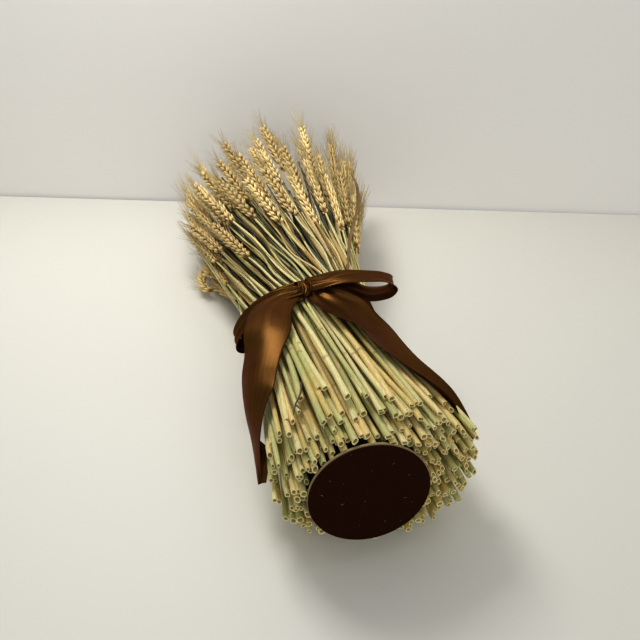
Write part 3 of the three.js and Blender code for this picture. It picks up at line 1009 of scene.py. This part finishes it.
def cut_end(slant, squash, ragged, name):
    """The end of a straw, of unit radius, which a straw's tube runs into: a wall, a pale
    uneven rim and a bore."""
    profile = [
        (0, -0.6),
        (0.9, -0.6),
        (1.01, -0.3),
        (1.04, CUT_LENGTH - 0.12),
        (0.98, CUT_LENGTH),
        (0.74, CUT_LENGTH),
        (0.68, CUT_LENGTH - 0.15),
        (0.6, CUT_LENGTH - BORE_DEPTH),
        (0, CUT_LENGTH - BORE_DEPTH - 0.1),
    ]
    cut = [0, 0, 0, 0.3, 1, 1, 1.35, 2, 2]
    sides = 10
    points, faces = turned_profile(profile, sides)
    levels = np.concatenate([[cut[0]], np.repeat(cut[1:-1], sides), [cut[-1]]])
    at_rim = points[:, 2] > CUT_LENGTH - 0.5
    around = np.arctan2(points[:, 1], points[:, 0])
    points[:, 2] += at_rim * (slant * points[:, 0] + ragged * np.sin(3 * around + slant))
    points[:, 1] *= lerp(1, squash, np.clip(points[:, 2] / CUT_LENGTH, 0, 1))
    return new_object(name, points, faces, attributes={"cut": levels}, linked=False)


# What makes each small shape that a bunch repeats: a spikelet's spread; the lean and fan of
# a tuft of awns, in radians, and its curve; the slant, squash and raggedness of a cut end.
SPIKELETS = {"Spikelet A": (1.0,), "Spikelet B": (1.35,)}
AWNS = {
    "Awns A": (math.radians(7), math.radians(4), 0.06),
    "Awns B": (math.radians(10), math.radians(7), 0.02),
    "Awns C": (math.radians(4), math.radians(6), 0.10),
}
CUT_ENDS = {
    "Cut End A": (0.05, 0.97, 0.08),
    "Cut End B": (0.35, 0.86, 0.12),
    "Cut End C": (-0.2, 0.68, 0.18),
}


def repeated_shapes():
    """The small shapes as objects, by the names of the tree's inputs."""
    kinds = ((spikelet, SPIKELETS), (awn_tuft, AWNS), (cut_end, CUT_ENDS))
    return {
        label: make(*measures, label.lower().replace(" ", "_"))
        for make, kind in kinds
        for label, measures in kind.items()
    }


# ---- The tree that grows a bunch --------------------------------------------------------

# How far above the table a stalk starts to ease off.
TABLE_EASE = 0.004
LEAF_SECTION = 8
FINISHES = ("Straw Finish", "Ear Finish", "Leaf Finish")
BUNCH_INPUTS = {
    "Guides": "Geometry",
    "Tube Sides": "Int",
    "Spikelets": "Int",
    "Awn Length": "Float",
    "Seed": "Int",
    **dict.fromkeys((*SPIKELETS, *AWNS, *CUT_ENDS), "Object"),
    **dict.fromkeys(FINISHES, "Material"),
}


def laid_on_table(graph, geometry):
    """Presses what would reach below the table up onto it."""
    x, y, z = graph.axes(graph.add("GeometryNodeInputPosition"))
    eased = graph.math("EXPONENT", z * (1 / TABLE_EASE) - 1.0) * TABLE_EASE
    lifted = z + (eased - z) * (z < TABLE_EASE)
    position = graph.add("ShaderNodeCombineXYZ", None, {"X": x, "Y": y, "Z": lifted})
    sockets = {"Geometry": geometry, "Position": position}
    return graph.add("GeometryNodeSetPosition", None, sockets)


def bunch_tree():
    """Tubes along the strands, with cut ends on straws, spikelets and awns on ears."""
    graph, inputs, identifiers = new_geometry_tree("Wheat Bunch", BUNCH_INPUTS)
    kind = graph.stored("kind")
    girth = graph.stored("girth")
    facing = graph.stored("facing", "FLOAT_VECTOR")
    tangent = graph.add("GeometryNodeInputTangent")
    is_ear = (kind > EAR - 0.5) * (kind < EAR + 0.5)
    is_leaf = kind > LEAF - 0.5

    def shapes(labels):
        found = [
            graph.add(
                "GeometryNodeObjectInfo",
                None,
                {"Object": inputs[label], "As Instance": True},
                "Geometry",
            )
            for label in labels
        ]
        return graph.add("GeometryNodeJoinGeometry", None, {"Geometry": found[::-1]})

    def lines(selection):
        kept = graph.add(
            "GeometryNodeSeparateGeometry",
            {"domain": "POINT"},
            {"Geometry": inputs["Guides"], "Selection": selection},
        )
        return graph.add("GeometryNodeMeshToCurve", None, {"Mesh": kept})

    def random(low, high, seed, kind_name="FLOAT"):
        index = {"FLOAT_VECTOR": (0, 1, 0), "FLOAT": (2, 3, 1), "INT": (4, 5, 2)}[kind_name]
        sockets = {index[0]: low, index[1]: high, "Seed": inputs["Seed"] + seed}
        settings = {"data_type": kind_name}
        return graph.add("FunctionNodeRandomValue", settings, sockets, index[2])

    def circle(sides):
        sockets = {"Resolution": sides, "Radius": 1.0}
        return graph.add("GeometryNodeCurvePrimitiveCircle", {"mode": "RADIUS"}, sockets)

    def swept(curve, profile):
        sockets = {
            "Curve": curve,
            "Profile Curve": profile,
            "Scale": girth,
            "Fill Caps": True,
        }
        return graph.add("GeometryNodeCurveToMesh", None, sockets)

    def turned_to(side):
        """The turn that lays Z along the strand and X towards a side."""
        return graph.add(
            "FunctionNodeAxesToRotation",
            {"primary_axis": "Z", "secondary_axis": "X"},
            {"Primary Axis": tangent, "Secondary Axis": side},
        )

    def on_points(points, labels, rotation, scale, selection=True):
        sockets = {
            "Points": points,
            "Selection": selection,
            "Instance": shapes(labels),
            "Pick Instance": True,
            "Instance Index": random(0, len(labels) - 1, 3, "INT"),
            "Rotation": rotation,
            "Scale": scale,
        }
        return graph.add("GeometryNodeInstanceOnPoints", None, sockets)

    stalks = lines(kind < EAR + 0.5)
    tubes = swept(stalks, circle(inputs["Tube Sides"]))

    ends = graph.add(
        "GeometryNodeCurveEndpointSelection", None, {"Start Size": 0, "End Size": 1}
    )
    is_end = ends * (kind < STRAW + 0.5)
    cut_ends = on_points(stalks, CUT_ENDS, turned_to(facing), girth, is_end)

    ears = graph.add(
        "GeometryNodeResampleCurve",
        {"mode": "COUNT"},
        {"Curve": lines(is_ear), "Count": inputs["Spikelets"]},
    )
    run = graph.add("GeometryNodeSplineParameter", output="Factor")
    rank = graph.add("GeometryNodeSplineParameter", output="Index")
    side = graph.add(
        "ShaderNodeVectorMath", {"operation": "CROSS_PRODUCT"}, {0: tangent, 1: facing}
    )
    side = graph.add(
        "ShaderNodeVectorMath",
        {"operation": "SCALE"},
        {0: side, "Scale": 1.0 - (rank % 2.0) * 2.0},
    )
    turn = turned_to(side)

    def shaken(amount, seed):
        """The ear's turn, shaken at random by an amount."""
        wobble = graph.add(
            "FunctionNodeEulerToRotation",
            None,
            {"Euler": random((-amount,) * 3, (amount,) * 3, seed, "FLOAT_VECTOR")},
        )
        return graph.add(
            "FunctionNodeRotateRotation",
            {"rotation_space": "LOCAL"},
            {"Rotation": turn, "Rotate By": wobble},
        )

    fullness = graph.math("SINE", run * 2.3 + 0.45) * 0.34 + 0.52
    fullness = fullness * random(0.92, 1.08, 12)
    spikelets = on_points(ears, SPIKELETS, shaken(0.12, 11), fullness)
    reach = inputs["Awn Length"] * (1.0 - run * 0.25) * random(0.7, 1.0, 13)
    reach = reach * graph.stored("bristle")
    awns = on_points(ears, AWNS, shaken(0.1, 14), reach)

    x, y, _ = graph.axes(graph.add("GeometryNodeInputPosition"))
    fold = graph.math("ABSOLUTE", x) * 0.35 + y * 0.09
    folded = graph.add("ShaderNodeCombineXYZ", None, {"X": x, "Y": fold})
    sockets = {"Geometry": circle(LEAF_SECTION), "Position": folded}
    profile = graph.add("GeometryNodeSetPosition", None, sockets)
    leaf_lines = graph.add(
        "GeometryNodeSetCurveNormal",
        {"mode": "FREE"},
        {"Curve": lines(is_leaf), "Normal": facing},
    )
    leaves = swept(leaf_lines, profile)

    parts = [tubes, cut_ends, spikelets, awns, leaves]
    whole = graph.add("GeometryNodeJoinGeometry", None, {"Geometry": parts})
    whole = graph.add("GeometryNodeRealizeInstances", None, {"Geometry": whole})
    whole = laid_on_table(graph, whole)
    whole = graph.add("GeometryNodeSetShadeSmooth", None, {"Geometry": whole})
    for label, selection in zip(FINISHES, (kind < EAR - 0.5, is_ear, is_leaf)):
        sockets = {"Geometry": whole, "Selection": selection, "Material": inputs[label]}
        whole = graph.add("GeometryNodeSetMaterial", None, sockets)
    graph.add("NodeGroupOutput", None, {"Geometry": whole})
    return graph.tree, identifiers


# ---- Looks of straws, ears and leaves ---------------------------------------------------

DARK_STEM = srgb(70, 54, 34)
JOINT_BROWN = srgb(112, 88, 48)
RIM_CREAM = srgb(238, 226, 170)
BORE_TAN = srgb(164, 142, 82)
FLORET_BASE_SHADE = srgb(58, 36, 14)
BLOTCH_GOLD = srgb(206, 168, 92)
LEAF_PALE = srgb(206, 186, 132)
LEAF_OLD = srgb(84, 66, 38)
# Painted shade: the share of their colour that the imported stems inside the sheaf keep.
INNER_SHADE = 0.11


def straw_look(name, settings, shade=1.0):
    """Pale straws from green to gold, streaked along, with dark joints and hollow ends, and
    with painted shade on those deep in the sheaf.
    """

    def build(graph, place_signal):
        tone, hue = graph.attribute("tone"), graph.attribute("hue")
        joint, cut = graph.attribute("joint"), graph.attribute("cut")
        streak = graph.noise(place_signal, 1500, 3, (1, 0.035, 1))
        blotch = graph.noise(place_signal, 34, 2)
        warm = graph.clamp((hue + (blotch - 0.5) * 0.9 - 0.45) * 2.4)
        ripe = graph.clamp((tone + (blotch - 0.5) * 0.6 - 0.2) * 1.4)
        body = graph.mix(ripe, settings.green, settings.cream)
        body = graph.mix(warm * 0.6, body, settings.gold)
        # Painted shade: straws and stems deep in the sheaf are darkened, and a darker copy
        # of the whole finish is made for the stalks packed inside it.
        old = 1.0 - graph.attribute("deep") * 0.85
        body = graph.tinted(body, (streak * 0.84 + 0.5) * old * shade)
        body = graph.mix(graph.clamp(tone * -1.0), body, DARK_STEM)
        body = graph.mix(joint * 0.6, body, JOINT_BROWN)
        rim = graph.clamp(1.0 - graph.math("ABSOLUTE", cut - 1.0) * 2.0)
        body = graph.mix(rim * 0.65, body, RIM_CREAM)
        bore = graph.clamp((cut - 1.1) * 1.6)
        body = graph.mix(bore, body, BORE_TAN)
        return {
            "Base Color": body,
            "Roughness": graph.clamp(streak * 0.3 + 0.36),
            "Normal": graph.bump(streak, 0.0002, 0.5),
        }

    return new_material(name, build, {"Specular IOR Level": 0.4})


def ear_look(settings):
    """Golden florets with pale tips and painted shade towards their bases, and pale awns.
    """

    def build(graph, place_signal):
        tone, husk = graph.attribute("tone"), graph.attribute("husk")
        awn = graph.attribute("awn")
        grain = graph.noise(place_signal, 900, 3, (1, 0.2, 1))
        blotch = graph.noise(place_signal, 60, 2)
        tip = graph.clamp(husk * 1.3 - 0.35 + (tone - 0.5) * 0.3)
        body = graph.mix(tip, settings.grain, settings.husk)
        # Painted shade: each floret is darkened towards its base, where the florets crowd
        # together, but the awns are not.
        root = graph.clamp(1.1 - husk * 2.6)
        body = graph.mix(root * (1.0 - awn) * 0.8, body, FLORET_BASE_SHADE)
        body = graph.mix(graph.clamp((blotch - 0.5) * 2.0) * 0.3, body, BLOTCH_GOLD)
        body = graph.mix(awn, body, settings.awn)
        return {
            "Base Color": graph.tinted(body, (grain * 0.4 + 0.78) * (tone * 0.4 + 0.74)),
            "Roughness": graph.clamp(grain * 0.3 + 0.42),
            "Normal": graph.bump(grain, 0.0003, 0.5),
        }

    return new_material("Wheat Ear", build, {"Specular IOR Level": 0.35})


def leaf_look(settings):
    """Dry tan leaves with fine veins along them."""

    def build(graph, place_signal):
        tone = graph.attribute("tone")
        vein = graph.noise(place_signal, 1800, 2, (1, 0.03, 1))
        body = graph.mix(tone, settings.leaf, LEAF_PALE)
        body = graph.mix(graph.clamp(tone * -1.0), body, LEAF_OLD)
        return {
            "Base Color": graph.tinted(body, vein * 1.2 + 0.3),
            "Roughness": graph.clamp(vein * 0.3 + 0.45),
            "Normal": graph.bump(vein, 0.0003, 0.6),
        }

    return new_material("Dry Leaf", build, {"Specular IOR Level": 0.35})


SEED_STEP = 100


class Grower:
    """Grows strands into pieces, with a tree, small shapes and finishes of its own."""

    def __init__(self, settings, straw_name, shade=1.0):
        self.tree, self.identifiers = bunch_tree()
        self.shapes = repeated_shapes()
        straw = straw_look(straw_name, settings, shade)
        looks = (straw, ear_look(settings), leaf_look(settings))
        self.values = {
            "Tube Sides": settings.tube_sides,
            "Spikelets": settings.spikelets,
            "Awn Length": settings.awn_length,
            **self.shapes,
            **dict(zip(FINISHES, looks)),
        }

    def grow(self, name, strands, seed, slot_name, node):
        guides = strands.guides(f"guides_{name}")
        values = {**self.values, "Seed": seed}
        fitted(grown(name, guides, self.tree, self.identifiers, values), slot_name, node)

    def finish(self):
        for shape in self.shapes.values():
            bpy.data.objects.remove(shape)


class WHEAT_OT_bunches(Operator):
    """Grows the bunches of stalks, each with its cut straws, stems, ears and leaves"""

    bl_idname = "wheat.bunches"
    bl_label = "Bunches Of Stalks"

    def execute(self, context):
        settings = context.scene.wheat_stalks
        grower = Grower(settings, "Wheat Straw")
        for index in range(BUNCHES):
            label = f"{index + 1:02d}"
            strands = bunch_strands(index, settings)
            seed = settings.seed + SEED_STEP * index
            grower.grow(f"stalks_{label}", strands, seed, "straw", f"bunch_{label}")
        grower.finish()
        return {"FINISHED"}


# Rings of the straws glued to the board and of the stems above them: each ring's share of
# the reach, and its count.
CORE_RINGS = ((0.66, 30), (0.52, 24), (0.38, 18), (0.24, 12), (0.08, 5))
CORE_FOOT = 34.0
CORE_STEM_RINGS = (
    (0.86, 64), (0.76, 60), (0.66, 50), (0.54, 42), (0.4, 30), (0.26, 18),
    (0.12, 8),
)
CORE_STEM_FAN = 0.97
CORE_SHARES = np.array((0.8, 0.86, 0.95, 1, 0.98, 0.9))


def packed_places(rings, first_number):
    """The number, angle and share of the reach of each stem in staggered rings."""
    for row, (share, count) in enumerate(rings):
        for step in range(count):
            angle = 2 * math.pi * (step + 0.5 * (row % 2)) / count
            yield first_number + 100 * row + step, angle, share


class WHEAT_OT_packed_stems(Operator):
    """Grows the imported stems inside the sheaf, from the board up through the waist"""

    bl_idname = "wheat.packed_stems"
    bl_label = "Packed Stems"

    def execute(self, context):
        settings = context.scene.wheat_stalks
        # The packed stems get a darker copy of the straw finish: painted shade.
        grower = Grower(settings, "Shaded Straw", INNER_SHADE)
        strands = Strands()
        for stem_number, angle, share in packed_places(CORE_RINGS, CORE_NUMBERS):
            top = 262 + 22 * draw(stem_number, 1)
            stations = np.array((3.5, 60, 120, 186, 220, top))
            shares = share * CORE_SHARES
            foot = place(stations[0], angle, shares[0])
            away = math.hypot(foot[0], foot[2] - BASE_HEIGHT)
            shares[0] *= min(1, CORE_FOOT / away)
            points = place(stations, angle, shares)
            girth = settings.straw_radius * (0.95 + 0.1 * draw(stem_number, 2))
            strands.line(points, STRAW, girth, *shades(stem_number, 3), (1, 0, 0))
        ends = (settings.stem_radius, settings.neck_radius)
        for stem_number, angle, share in packed_places(CORE_STEM_RINGS, CORE_STEM_NUMBERS):
            stations = np.linspace(200, 350 + 28 * draw(stem_number, 1), STEM_POINTS)
            shares = lerp(share, share * CORE_STEM_FAN, blend(stations))
            sway = 0.12 * draw(stem_number, 2) * blend(stations)
            add_stem(strands, stations, angle + sway, shares, stem_number, settings, ends)
        grower.grow("packed_stems", strands, settings.seed, "inner_straw", "inner_stems")
        grower.finish()
        return {"FINISHED"}


# ---- Tie and ribbon ---------------------------------------------------------------------

KNOT = {"middle": (-9, 177, 94), "width": 10, "along": 7.5, "up": 5}
RIGHT_LOOP = {
    "station": 181,
    "skew": 0.155,
    "outline": [
        (-6, 93.5, 12, 0),
        (20, 99, 22, -12),
        (42, 97.5, 26, -14),
        (57, 94.5, 28, -15),
        (65, 88.5, 31, -14),
        (61, 82, 31, -14),
        (44, 81, 30, -8),
        (22, 91.5, 24, 16),
        (-6, 92, 12, 0),
    ],
}
LEFT_LOOP = {
    "station": 174,
    "skew": 0,
    "outline": [
        (-9, 94, 12, 0),
        (-30, 90.5, 20, 0),
        (-49, 78, 24, 0),
        (-60.5, 62, 24, 0),
        (-61.5, 54, 24, 0),
        (-57, 52, 23, 0),
        (-53.5, 64, 22, 0),
        (-32, 85.5, 18, 0),
        (-9, 92, 12, 0),
    ],
}
LEFT_TAIL = [
    ((-6, 176, 92), (-12, 184, 94)), ((-21, 150, 94), (-46, 167, 90)),
    ((-26, 124, 95), (-58.5, 138, 89)), ((-35, 106, 93), (-60, 122, 82)),
    ((-41, 92, 92), (-63, 107, 75)), ((-47, 72, 90), (-64, 90, 70)),
    ((-53, 63, 80), (-64, 80, 58)), ((-58, 53, 64), (-63, 67, 46)),
    ((-60, 46, 32), (-62, 47, 29)),
]
LEFT_CORNER = [
    ((-59.5, 54, 61), (-58, 55, 60)), ((-60, 53, 52), (-52.5, 55.5, 50)),
    ((-60.8, 49, 41), (-54.4, 50, 40)), ((-61.4, 45.5, 31), (-56.8, 46, 31)),
]
RIGHT_TAIL = [
    ((-5, 177, 92), (2, 184, 94)), ((-5, 161, 94), (18, 171, 95)),
    ((-1, 140, 100), (35.5, 160, 90)), ((5, 122, 105.5), (40.5, 143, 88)),
    ((17, 104, 108), (45.5, 125, 88)), ((24, 82, 107), (48, 98, 92)),
    ((37, 61, 104), (52, 82, 92)), ((48, 45, 102), (69, 55, 83)),
    ((60, 34, 94), (79, 42, 66)), ((66, 30, 80), (83.5, 43, 55)),
    ((70, 30, 64), (82, 40, 42)),
]
TABLE_GAP = 0.4
BAND_FOLDS = 3
BAND_FOLD_HEIGHT = 1.9
RIBBON_ROWS = 90
# A grid with no more rows than this is an end turned over.
TURNED_ROWS = 30
RIBBON_COLUMNS = 25


def loop_pairs(loop):
    """A loop's two edges, from its outline, the ribbon's width and its tilt in degrees."""
    pairs = []
    for x, z, width, tilt in loop["outline"]:
        rise = math.radians(tilt)
        lies = unit(np.array((loop["skew"], math.cos(rise), math.sin(rise))))
        middle = np.array((x, loop["station"], z), float)
        pairs.append((middle - lies * width / 2, middle + lies * width / 2))
    return pairs


def cloth_between(pairs, lift, rows=RIBBON_ROWS):
    """A grid between two edges, lifted by a function of the runs along and across."""
    first, second = (smooth_path(edge, rows) for edge in zip(*pairs))
    run = np.linspace(0, 1, rows)[:, None]
    across = np.linspace(0, 1, RIBBON_COLUMNS)[None, :]
    flat = lerp(first[:, None], second[:, None], across[..., None])
    along = np.gradient(flat, axis=0)
    sideways = np.broadcast_to((second - first)[:, None], flat.shape)
    normal = unit(np.cross(sideways, along))
    return flat + normal * lift(run, across)[..., None]


def billow(run, across, height):
    """A swell along the middle."""
    return height * np.sin(math.pi * across) * np.ones_like(run)


def gathers(run, across, height, reach, folds, phase=0.0):
    """Folds that run out from the knot and fade."""
    fade = np.exp(-run / reach)
    return height * fade * np.sin(2 * math.pi * folds * across + phase)


def left_tail_lift(run, across):
    belly = billow(run, across, 4.5 * np.sin(math.pi * np.clip(run * 1.15, 0, 1)) + 0.5)
    wave = 1.4 * np.sin(9 * run + 2.2 * across) * np.sin(math.pi * run)
    return belly + wave + gathers(run, across, 0.9, 0.12, 2.5)


def corner_lift(run, across):
    return billow(run, across, 0.8)


def right_tail_lift(run, across):
    belly = billow(run, across, 4 * np.sin(math.pi * run) ** 0.6 + 0.4)
    return belly + 0.5 * np.sin(7 * run + across) + gathers(run, across, 1.2, 0.12, 2.5, 1)


def loop_lift(run, across):
    ends = np.minimum(run, 1 - run)
    bent = 2.2 * run
    folds = gathers(ends, across, 2.6, 0.13, 2.6, 0.6 + bent)
    folds = folds + gathers(ends, across, 1.0, 0.3, 1.7, 4 * bent)
    return folds + billow(run, across, 1.5)


def gathered_loop_lift(run, across):
    ends = np.minimum(run, 1 - run)
    return gathers(ends, across, 2.6, 0.5, 2.5, 0.6)


SELVAGE = 0.0009
SATIN_TINT = srgb(196, 160, 128)
FIBRE_DARK = srgb(150, 120, 66)
FIBRE_PALE = srgb(205, 176, 116)


def satin_look(settings):
    """Dark satin whose sheen breaks into streaks along the ribbon."""

    def build(graph, place_signal):
        sockets = {"X": graph.attribute("across"), "Y": graph.attribute("along")}
        laid = graph.add("ShaderNodeCombineXYZ", None, sockets)
        streak = graph.noise(laid, 520, 3, (1, 0.05, 1))
        weave = graph.noise(place_signal, 5200, 2)
        cloud = graph.noise(place_signal, 55, 2)
        middle = graph.math("ABSOLUTE", graph.attribute("across") - settings.width / 2)
        selvage = graph.clamp((middle - (settings.width / 2 - SELVAGE)) * (1.5 / SELVAGE))
        shade = cloud * 0.5 + streak * 0.6 + 0.45 - selvage * 0.25
        return {
            "Base Color": graph.tinted(settings.satin, shade),
            "Roughness": graph.clamp(streak * 0.16 + cloud * 0.1 + selvage * 0.2 + 0.24),
            "Normal": graph.bump(streak + weave * 0.3 + selvage * 0.6, 0.0003, 0.35),
        }

    uniform = {
        "Metallic": 0.72,
        "Specular IOR Level": 0.12,
        "Specular Tint": SATIN_TINT,
    }
    return new_material("Brown Satin", build, uniform)


def make_sheet(name, grids, width, thickness, held, material):
    """A cloth of one or more grids, thickened, with its runs along and across kept on its
    points. A short grid is an end turned over, which adds nothing to the length."""
    parts, length = [], 0.0
    for grid in grids:
        rows, columns = grid.shape[:2]
        points = located(grid.reshape(-1, 3))
        middle = located(grid[:, columns // 2])
        steps = np.linalg.norm(np.diff(middle, axis=0), axis=1)
        along = length + np.concatenate([[0], np.cumsum(steps)])
        if rows > TURNED_ROWS:
            length += float(steps.sum())
        lies = {
            "across": np.tile(np.linspace(0, width, columns), rows),
            "along": np.repeat(along, columns),
        }
        parts.append((points, grid_faces(rows, columns), lies))
    points, faces, attributes = merged(parts)
    piece = new_object(name, points, faces, attributes=attributes)
    solid = piece.modifiers.new("Thickness", "SOLIDIFY")
    solid.thickness = thickness
    solid.offset = 0
    fitted(piece, "satin", "satin_ribbon", material=material)


def waist_band_grid():
    """The ribbon round the waist, drawn in to half its width by folds along it."""
    turns = np.linspace(0, 2 * math.pi, 121)
    across = np.linspace(0, 1, RIBBON_COLUMNS)
    middle = place(WAIST["station"], turns, 1)
    ahead = place(WAIST["station"], turns + 0.01, 1)
    tangent = unit(ahead - middle)
    outward = np.stack([tangent[:, 2], 0 * turns, -tangent[:, 0]], axis=-1)
    phase = 2 * math.pi * BAND_FOLDS * across[None] + 0.5 * np.sin(3 * turns[:, None])
    folds = 1.5 + BAND_FOLD_HEIGHT * np.sin(phase)
    to_right = np.maximum(np.cos(turns), 0)[:, None]
    away = (BAND_CLEARANCE + folds - to_right * (1.6 + 0.5 * folds))[..., None]
    grid = middle[:, None] + outward[:, None] * away
    grid[..., 1] += (across[None] - 0.5) * (20 - 4 * to_right) + 7 * to_right
    grid[..., 2] = np.maximum(grid[..., 2], TABLE_GAP)
    return grid


def knot_grid():
    """The crossing turn of ribbon that is pulled tight over the middle of the bow."""
    x, y, z = KNOT["middle"]
    turns = np.linspace(0, 2 * math.pi, 49)[:, None]
    across = np.linspace(-1, 1, RIBBON_COLUMNS)[None]
    pinch = 1 - 0.25 * np.cos(math.pi * across)
    crease = 0.8 * np.sin(5 * across + 2.2 * np.sin(turns) + 0.7)
    fine = 11 * across - 1.5 * np.cos(turns) + 3 * np.sin(2 * turns)
    crease = crease + 0.6 * np.sin(fine)
    half_y = KNOT["along"] * (1.15 - 0.15 * pinch) + crease
    half_z = KNOT["up"] * pinch + crease
    return np.stack(
        [
            x + KNOT["width"] / 2 * across + 1.5 * np.sin(turns),
            y + half_y * np.cos(turns),
            z + half_z * np.sin(turns),
        ],
        axis=-1,
    )


class WHEAT_OT_ribbon(Operator):
    """Builds the satin ribbon: its band and knot, two loops and two tails"""

    bl_idname = "wheat.ribbon"
    bl_label = "Satin Ribbon"

    def execute(self, context):
        settings = context.scene.wheat_ribbon
        material = satin_look(settings)
        right_loop = cloth_between(loop_pairs(RIGHT_LOOP), loop_lift)
        left_loop = cloth_between(loop_pairs(LEFT_LOOP), gathered_loop_lift)
        left_tail = cloth_between(LEFT_TAIL, left_tail_lift)
        left_corner = cloth_between(LEFT_CORNER, corner_lift, TURNED_ROWS)
        right_tail = cloth_between(RIGHT_TAIL, right_tail_lift)
        sheets = (
            ("ribbon_band", [waist_band_grid(), knot_grid()], "gathered"),
            ("ribbon_loop_right", [right_loop], "folded"),
            ("ribbon_loop_left", [left_loop], "folded"),
            ("ribbon_tail_left", [left_tail, left_corner], "draped"),
            ("ribbon_tail_right", [right_tail], "draped"),
        )
        for name, grids, held in sheets:
            make_sheet(name, grids, settings.width, settings.thickness, held, material)
        return {"FINISHED"}


class WHEAT_OT_binding(Operator):
    """Gives the fibre tie under the ribbon its finish"""

    bl_idname = "wheat.binding"
    bl_label = "Fibre Tie"

    def execute(self, context):
        def build(graph, place_signal):
            fibre = graph.noise(place_signal, 900, 3, (1, 6, 1))
            return {
                "Base Color": graph.mix(fibre, FIBRE_DARK, FIBRE_PALE),
                "Normal": graph.bump(fibre, 0.0003, 0.7),
            }

        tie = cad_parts["binding_band"].material_slots[0]
        tie.material = new_material("Fibre Tie", build, {"Roughness": 0.8})
        return {"FINISHED"}


# ---- Stage ------------------------------------------------------------------------------

CAMERA_PLACE = (-90.87, -314.28, 411.63)
CAMERA_PITCH = math.radians(34.8)
CAMERA_HEADING = math.radians(11)
TABLE_EDGE = ((-3000, 1310), (3000, -274))
TABLE_SEAM = 3.0
WALL_HEIGHT = 420.0
WALL_FOOT = -20
TABLE_NEAR = -3000.0
# Each square light's place and width in metres, and its power as a share of the key's.
LIGHTS = {
    "key": ((0.15, 0.05, 1.6), 1.9, 1),
    "panel": ((-0.165, 0.24, 0.69), 0.28, 0.98),
    "front": ((0.1, -2.1, 1.3), 1.5, 4.9),
}
ROOM_COLOUR = (0.93, 0.96, 1.0, 1)
ROOM_STRENGTH = 0.32


class WHEAT_OT_stage(Operator):
    """Sets the pale table, the wall behind it, three soft lights and the camera"""

    bl_idname = "wheat.stage"
    bl_label = "Stage"

    def execute(self, context):
        scene = context.scene
        settings = scene.wheat_stage
        (left, left_y), (right, right_y) = TABLE_EDGE
        table = [
            (left, TABLE_NEAR, 0),
            (right, TABLE_NEAR, 0),
            (right, right_y - TABLE_SEAM, 0),
            (left, left_y - TABLE_SEAM, 0),
        ]
        wall = [
            (left, left_y, WALL_FOOT),
            (right, right_y, WALL_FOOT),
            (right, right_y, WALL_HEIGHT),
            (left, left_y, WALL_HEIGHT),
        ]

        def pale(name, seen):
            def build(graph, place_signal):
                mottle = graph.noise(place_signal, 3, 2)
                return {"Base Color": graph.tinted(seen, mottle * 0.04 + 0.98)}

            return new_material(name, build, {"Roughness": 0.55})

        for name, corners, finish in (
            ("table", table, pale("Pale Table", settings.table)),
            ("wall", wall, pale("Pale Wall", settings.wall)),
        ):
            points = located(corners)
            if name == "table":
                points[:, 2] = 0
            piece = new_object(name, points, [(0, 1, 2, 3)])
            piece.data.materials.append(finish)

        for name, (place_m, width, power_share) in LIGHTS.items():
            data = bpy.data.lights.new(name, "AREA")
            data.shape = "SQUARE"
            data.size = width
            data.energy = settings.key * power_share
            light = bpy.data.objects.new(name, data)
            light.location = place_m
            light.visible_camera = False
            light.rotation_euler = (-light.location).to_track_quat("-Z", "Y").to_euler()
            scene.collection.objects.link(light)

        world = bpy.data.worlds.new("Pale Room")
        world.use_nodes = True
        background = world.node_tree.nodes["Background"]
        background.inputs["Color"].default_value = ROOM_COLOUR
        background.inputs["Strength"].default_value = ROOM_STRENGTH
        scene.world = world
        scene.view_settings.view_transform = "Standard"
        scene.view_settings.look = "Medium High Contrast"

        data = bpy.data.cameras.new("camera")
        data.lens = settings.lens
        data.sensor_width = 36
        camera = bpy.data.objects.new("camera", data)
        camera.location = located(CAMERA_PLACE)
        camera.rotation_euler = (math.pi / 2 - CAMERA_PITCH, 0, -CAMERA_HEADING)
        scene.collection.objects.link(camera)
        scene.camera = camera
        return {"FINISHED"}


# ---- Add-on -----------------------------------------------------------------------------


class WHEAT_PT_sheaf(Panel):
    """Lists the sheaf's operators and settings"""

    bl_idname = "WHEAT_PT_sheaf"
    bl_label = "Wheat Sheaf"
    bl_space_type = "VIEW_3D"
    bl_region_type = "UI"
    bl_category = "Wheat Sheaf"

    def draw(self, context):
        for operator in OPERATORS:
            self.layout.operator(operator.bl_idname)
        for key, group in SETTINGS.items():
            box = self.layout.box()
            box.label(text=key.replace("_", " ").title())
            for name in group.__annotations__:
                box.prop(getattr(context.scene, key), name)


OPERATORS = (
    WHEAT_OT_stage,
    WHEAT_OT_base,
    WHEAT_OT_packed_stems,
    WHEAT_OT_bunches,
    WHEAT_OT_binding,
    WHEAT_OT_ribbon,
)
SETTINGS = {
    "wheat_base": BaseSettings,
    "wheat_stalks": StalkSettings,
    "wheat_ribbon": RibbonSettings,
    "wheat_stage": StageSettings,
}


def register():
    for item in (*SETTINGS.values(), *OPERATORS, WHEAT_PT_sheaf):
        bpy.utils.register_class(item)
    for key, group in SETTINGS.items():
        setattr(bpy.types.Scene, key, PointerProperty(type=group))


def unregister():
    for key in SETTINGS:
        delattr(bpy.types.Scene, key)
    for item in reversed((*SETTINGS.values(), *OPERATORS, WHEAT_PT_sheaf)):
        bpy.utils.unregister_class(item)


def main():
    register()
    bpy.ops.wheat.stage()
    bpy.ops.wheat.base()
    bpy.ops.wheat.packed_stems()
    bpy.ops.wheat.bunches()
    bpy.ops.wheat.binding()
    bpy.ops.wheat.ribbon()


if __name__ == "__main__":
    main()
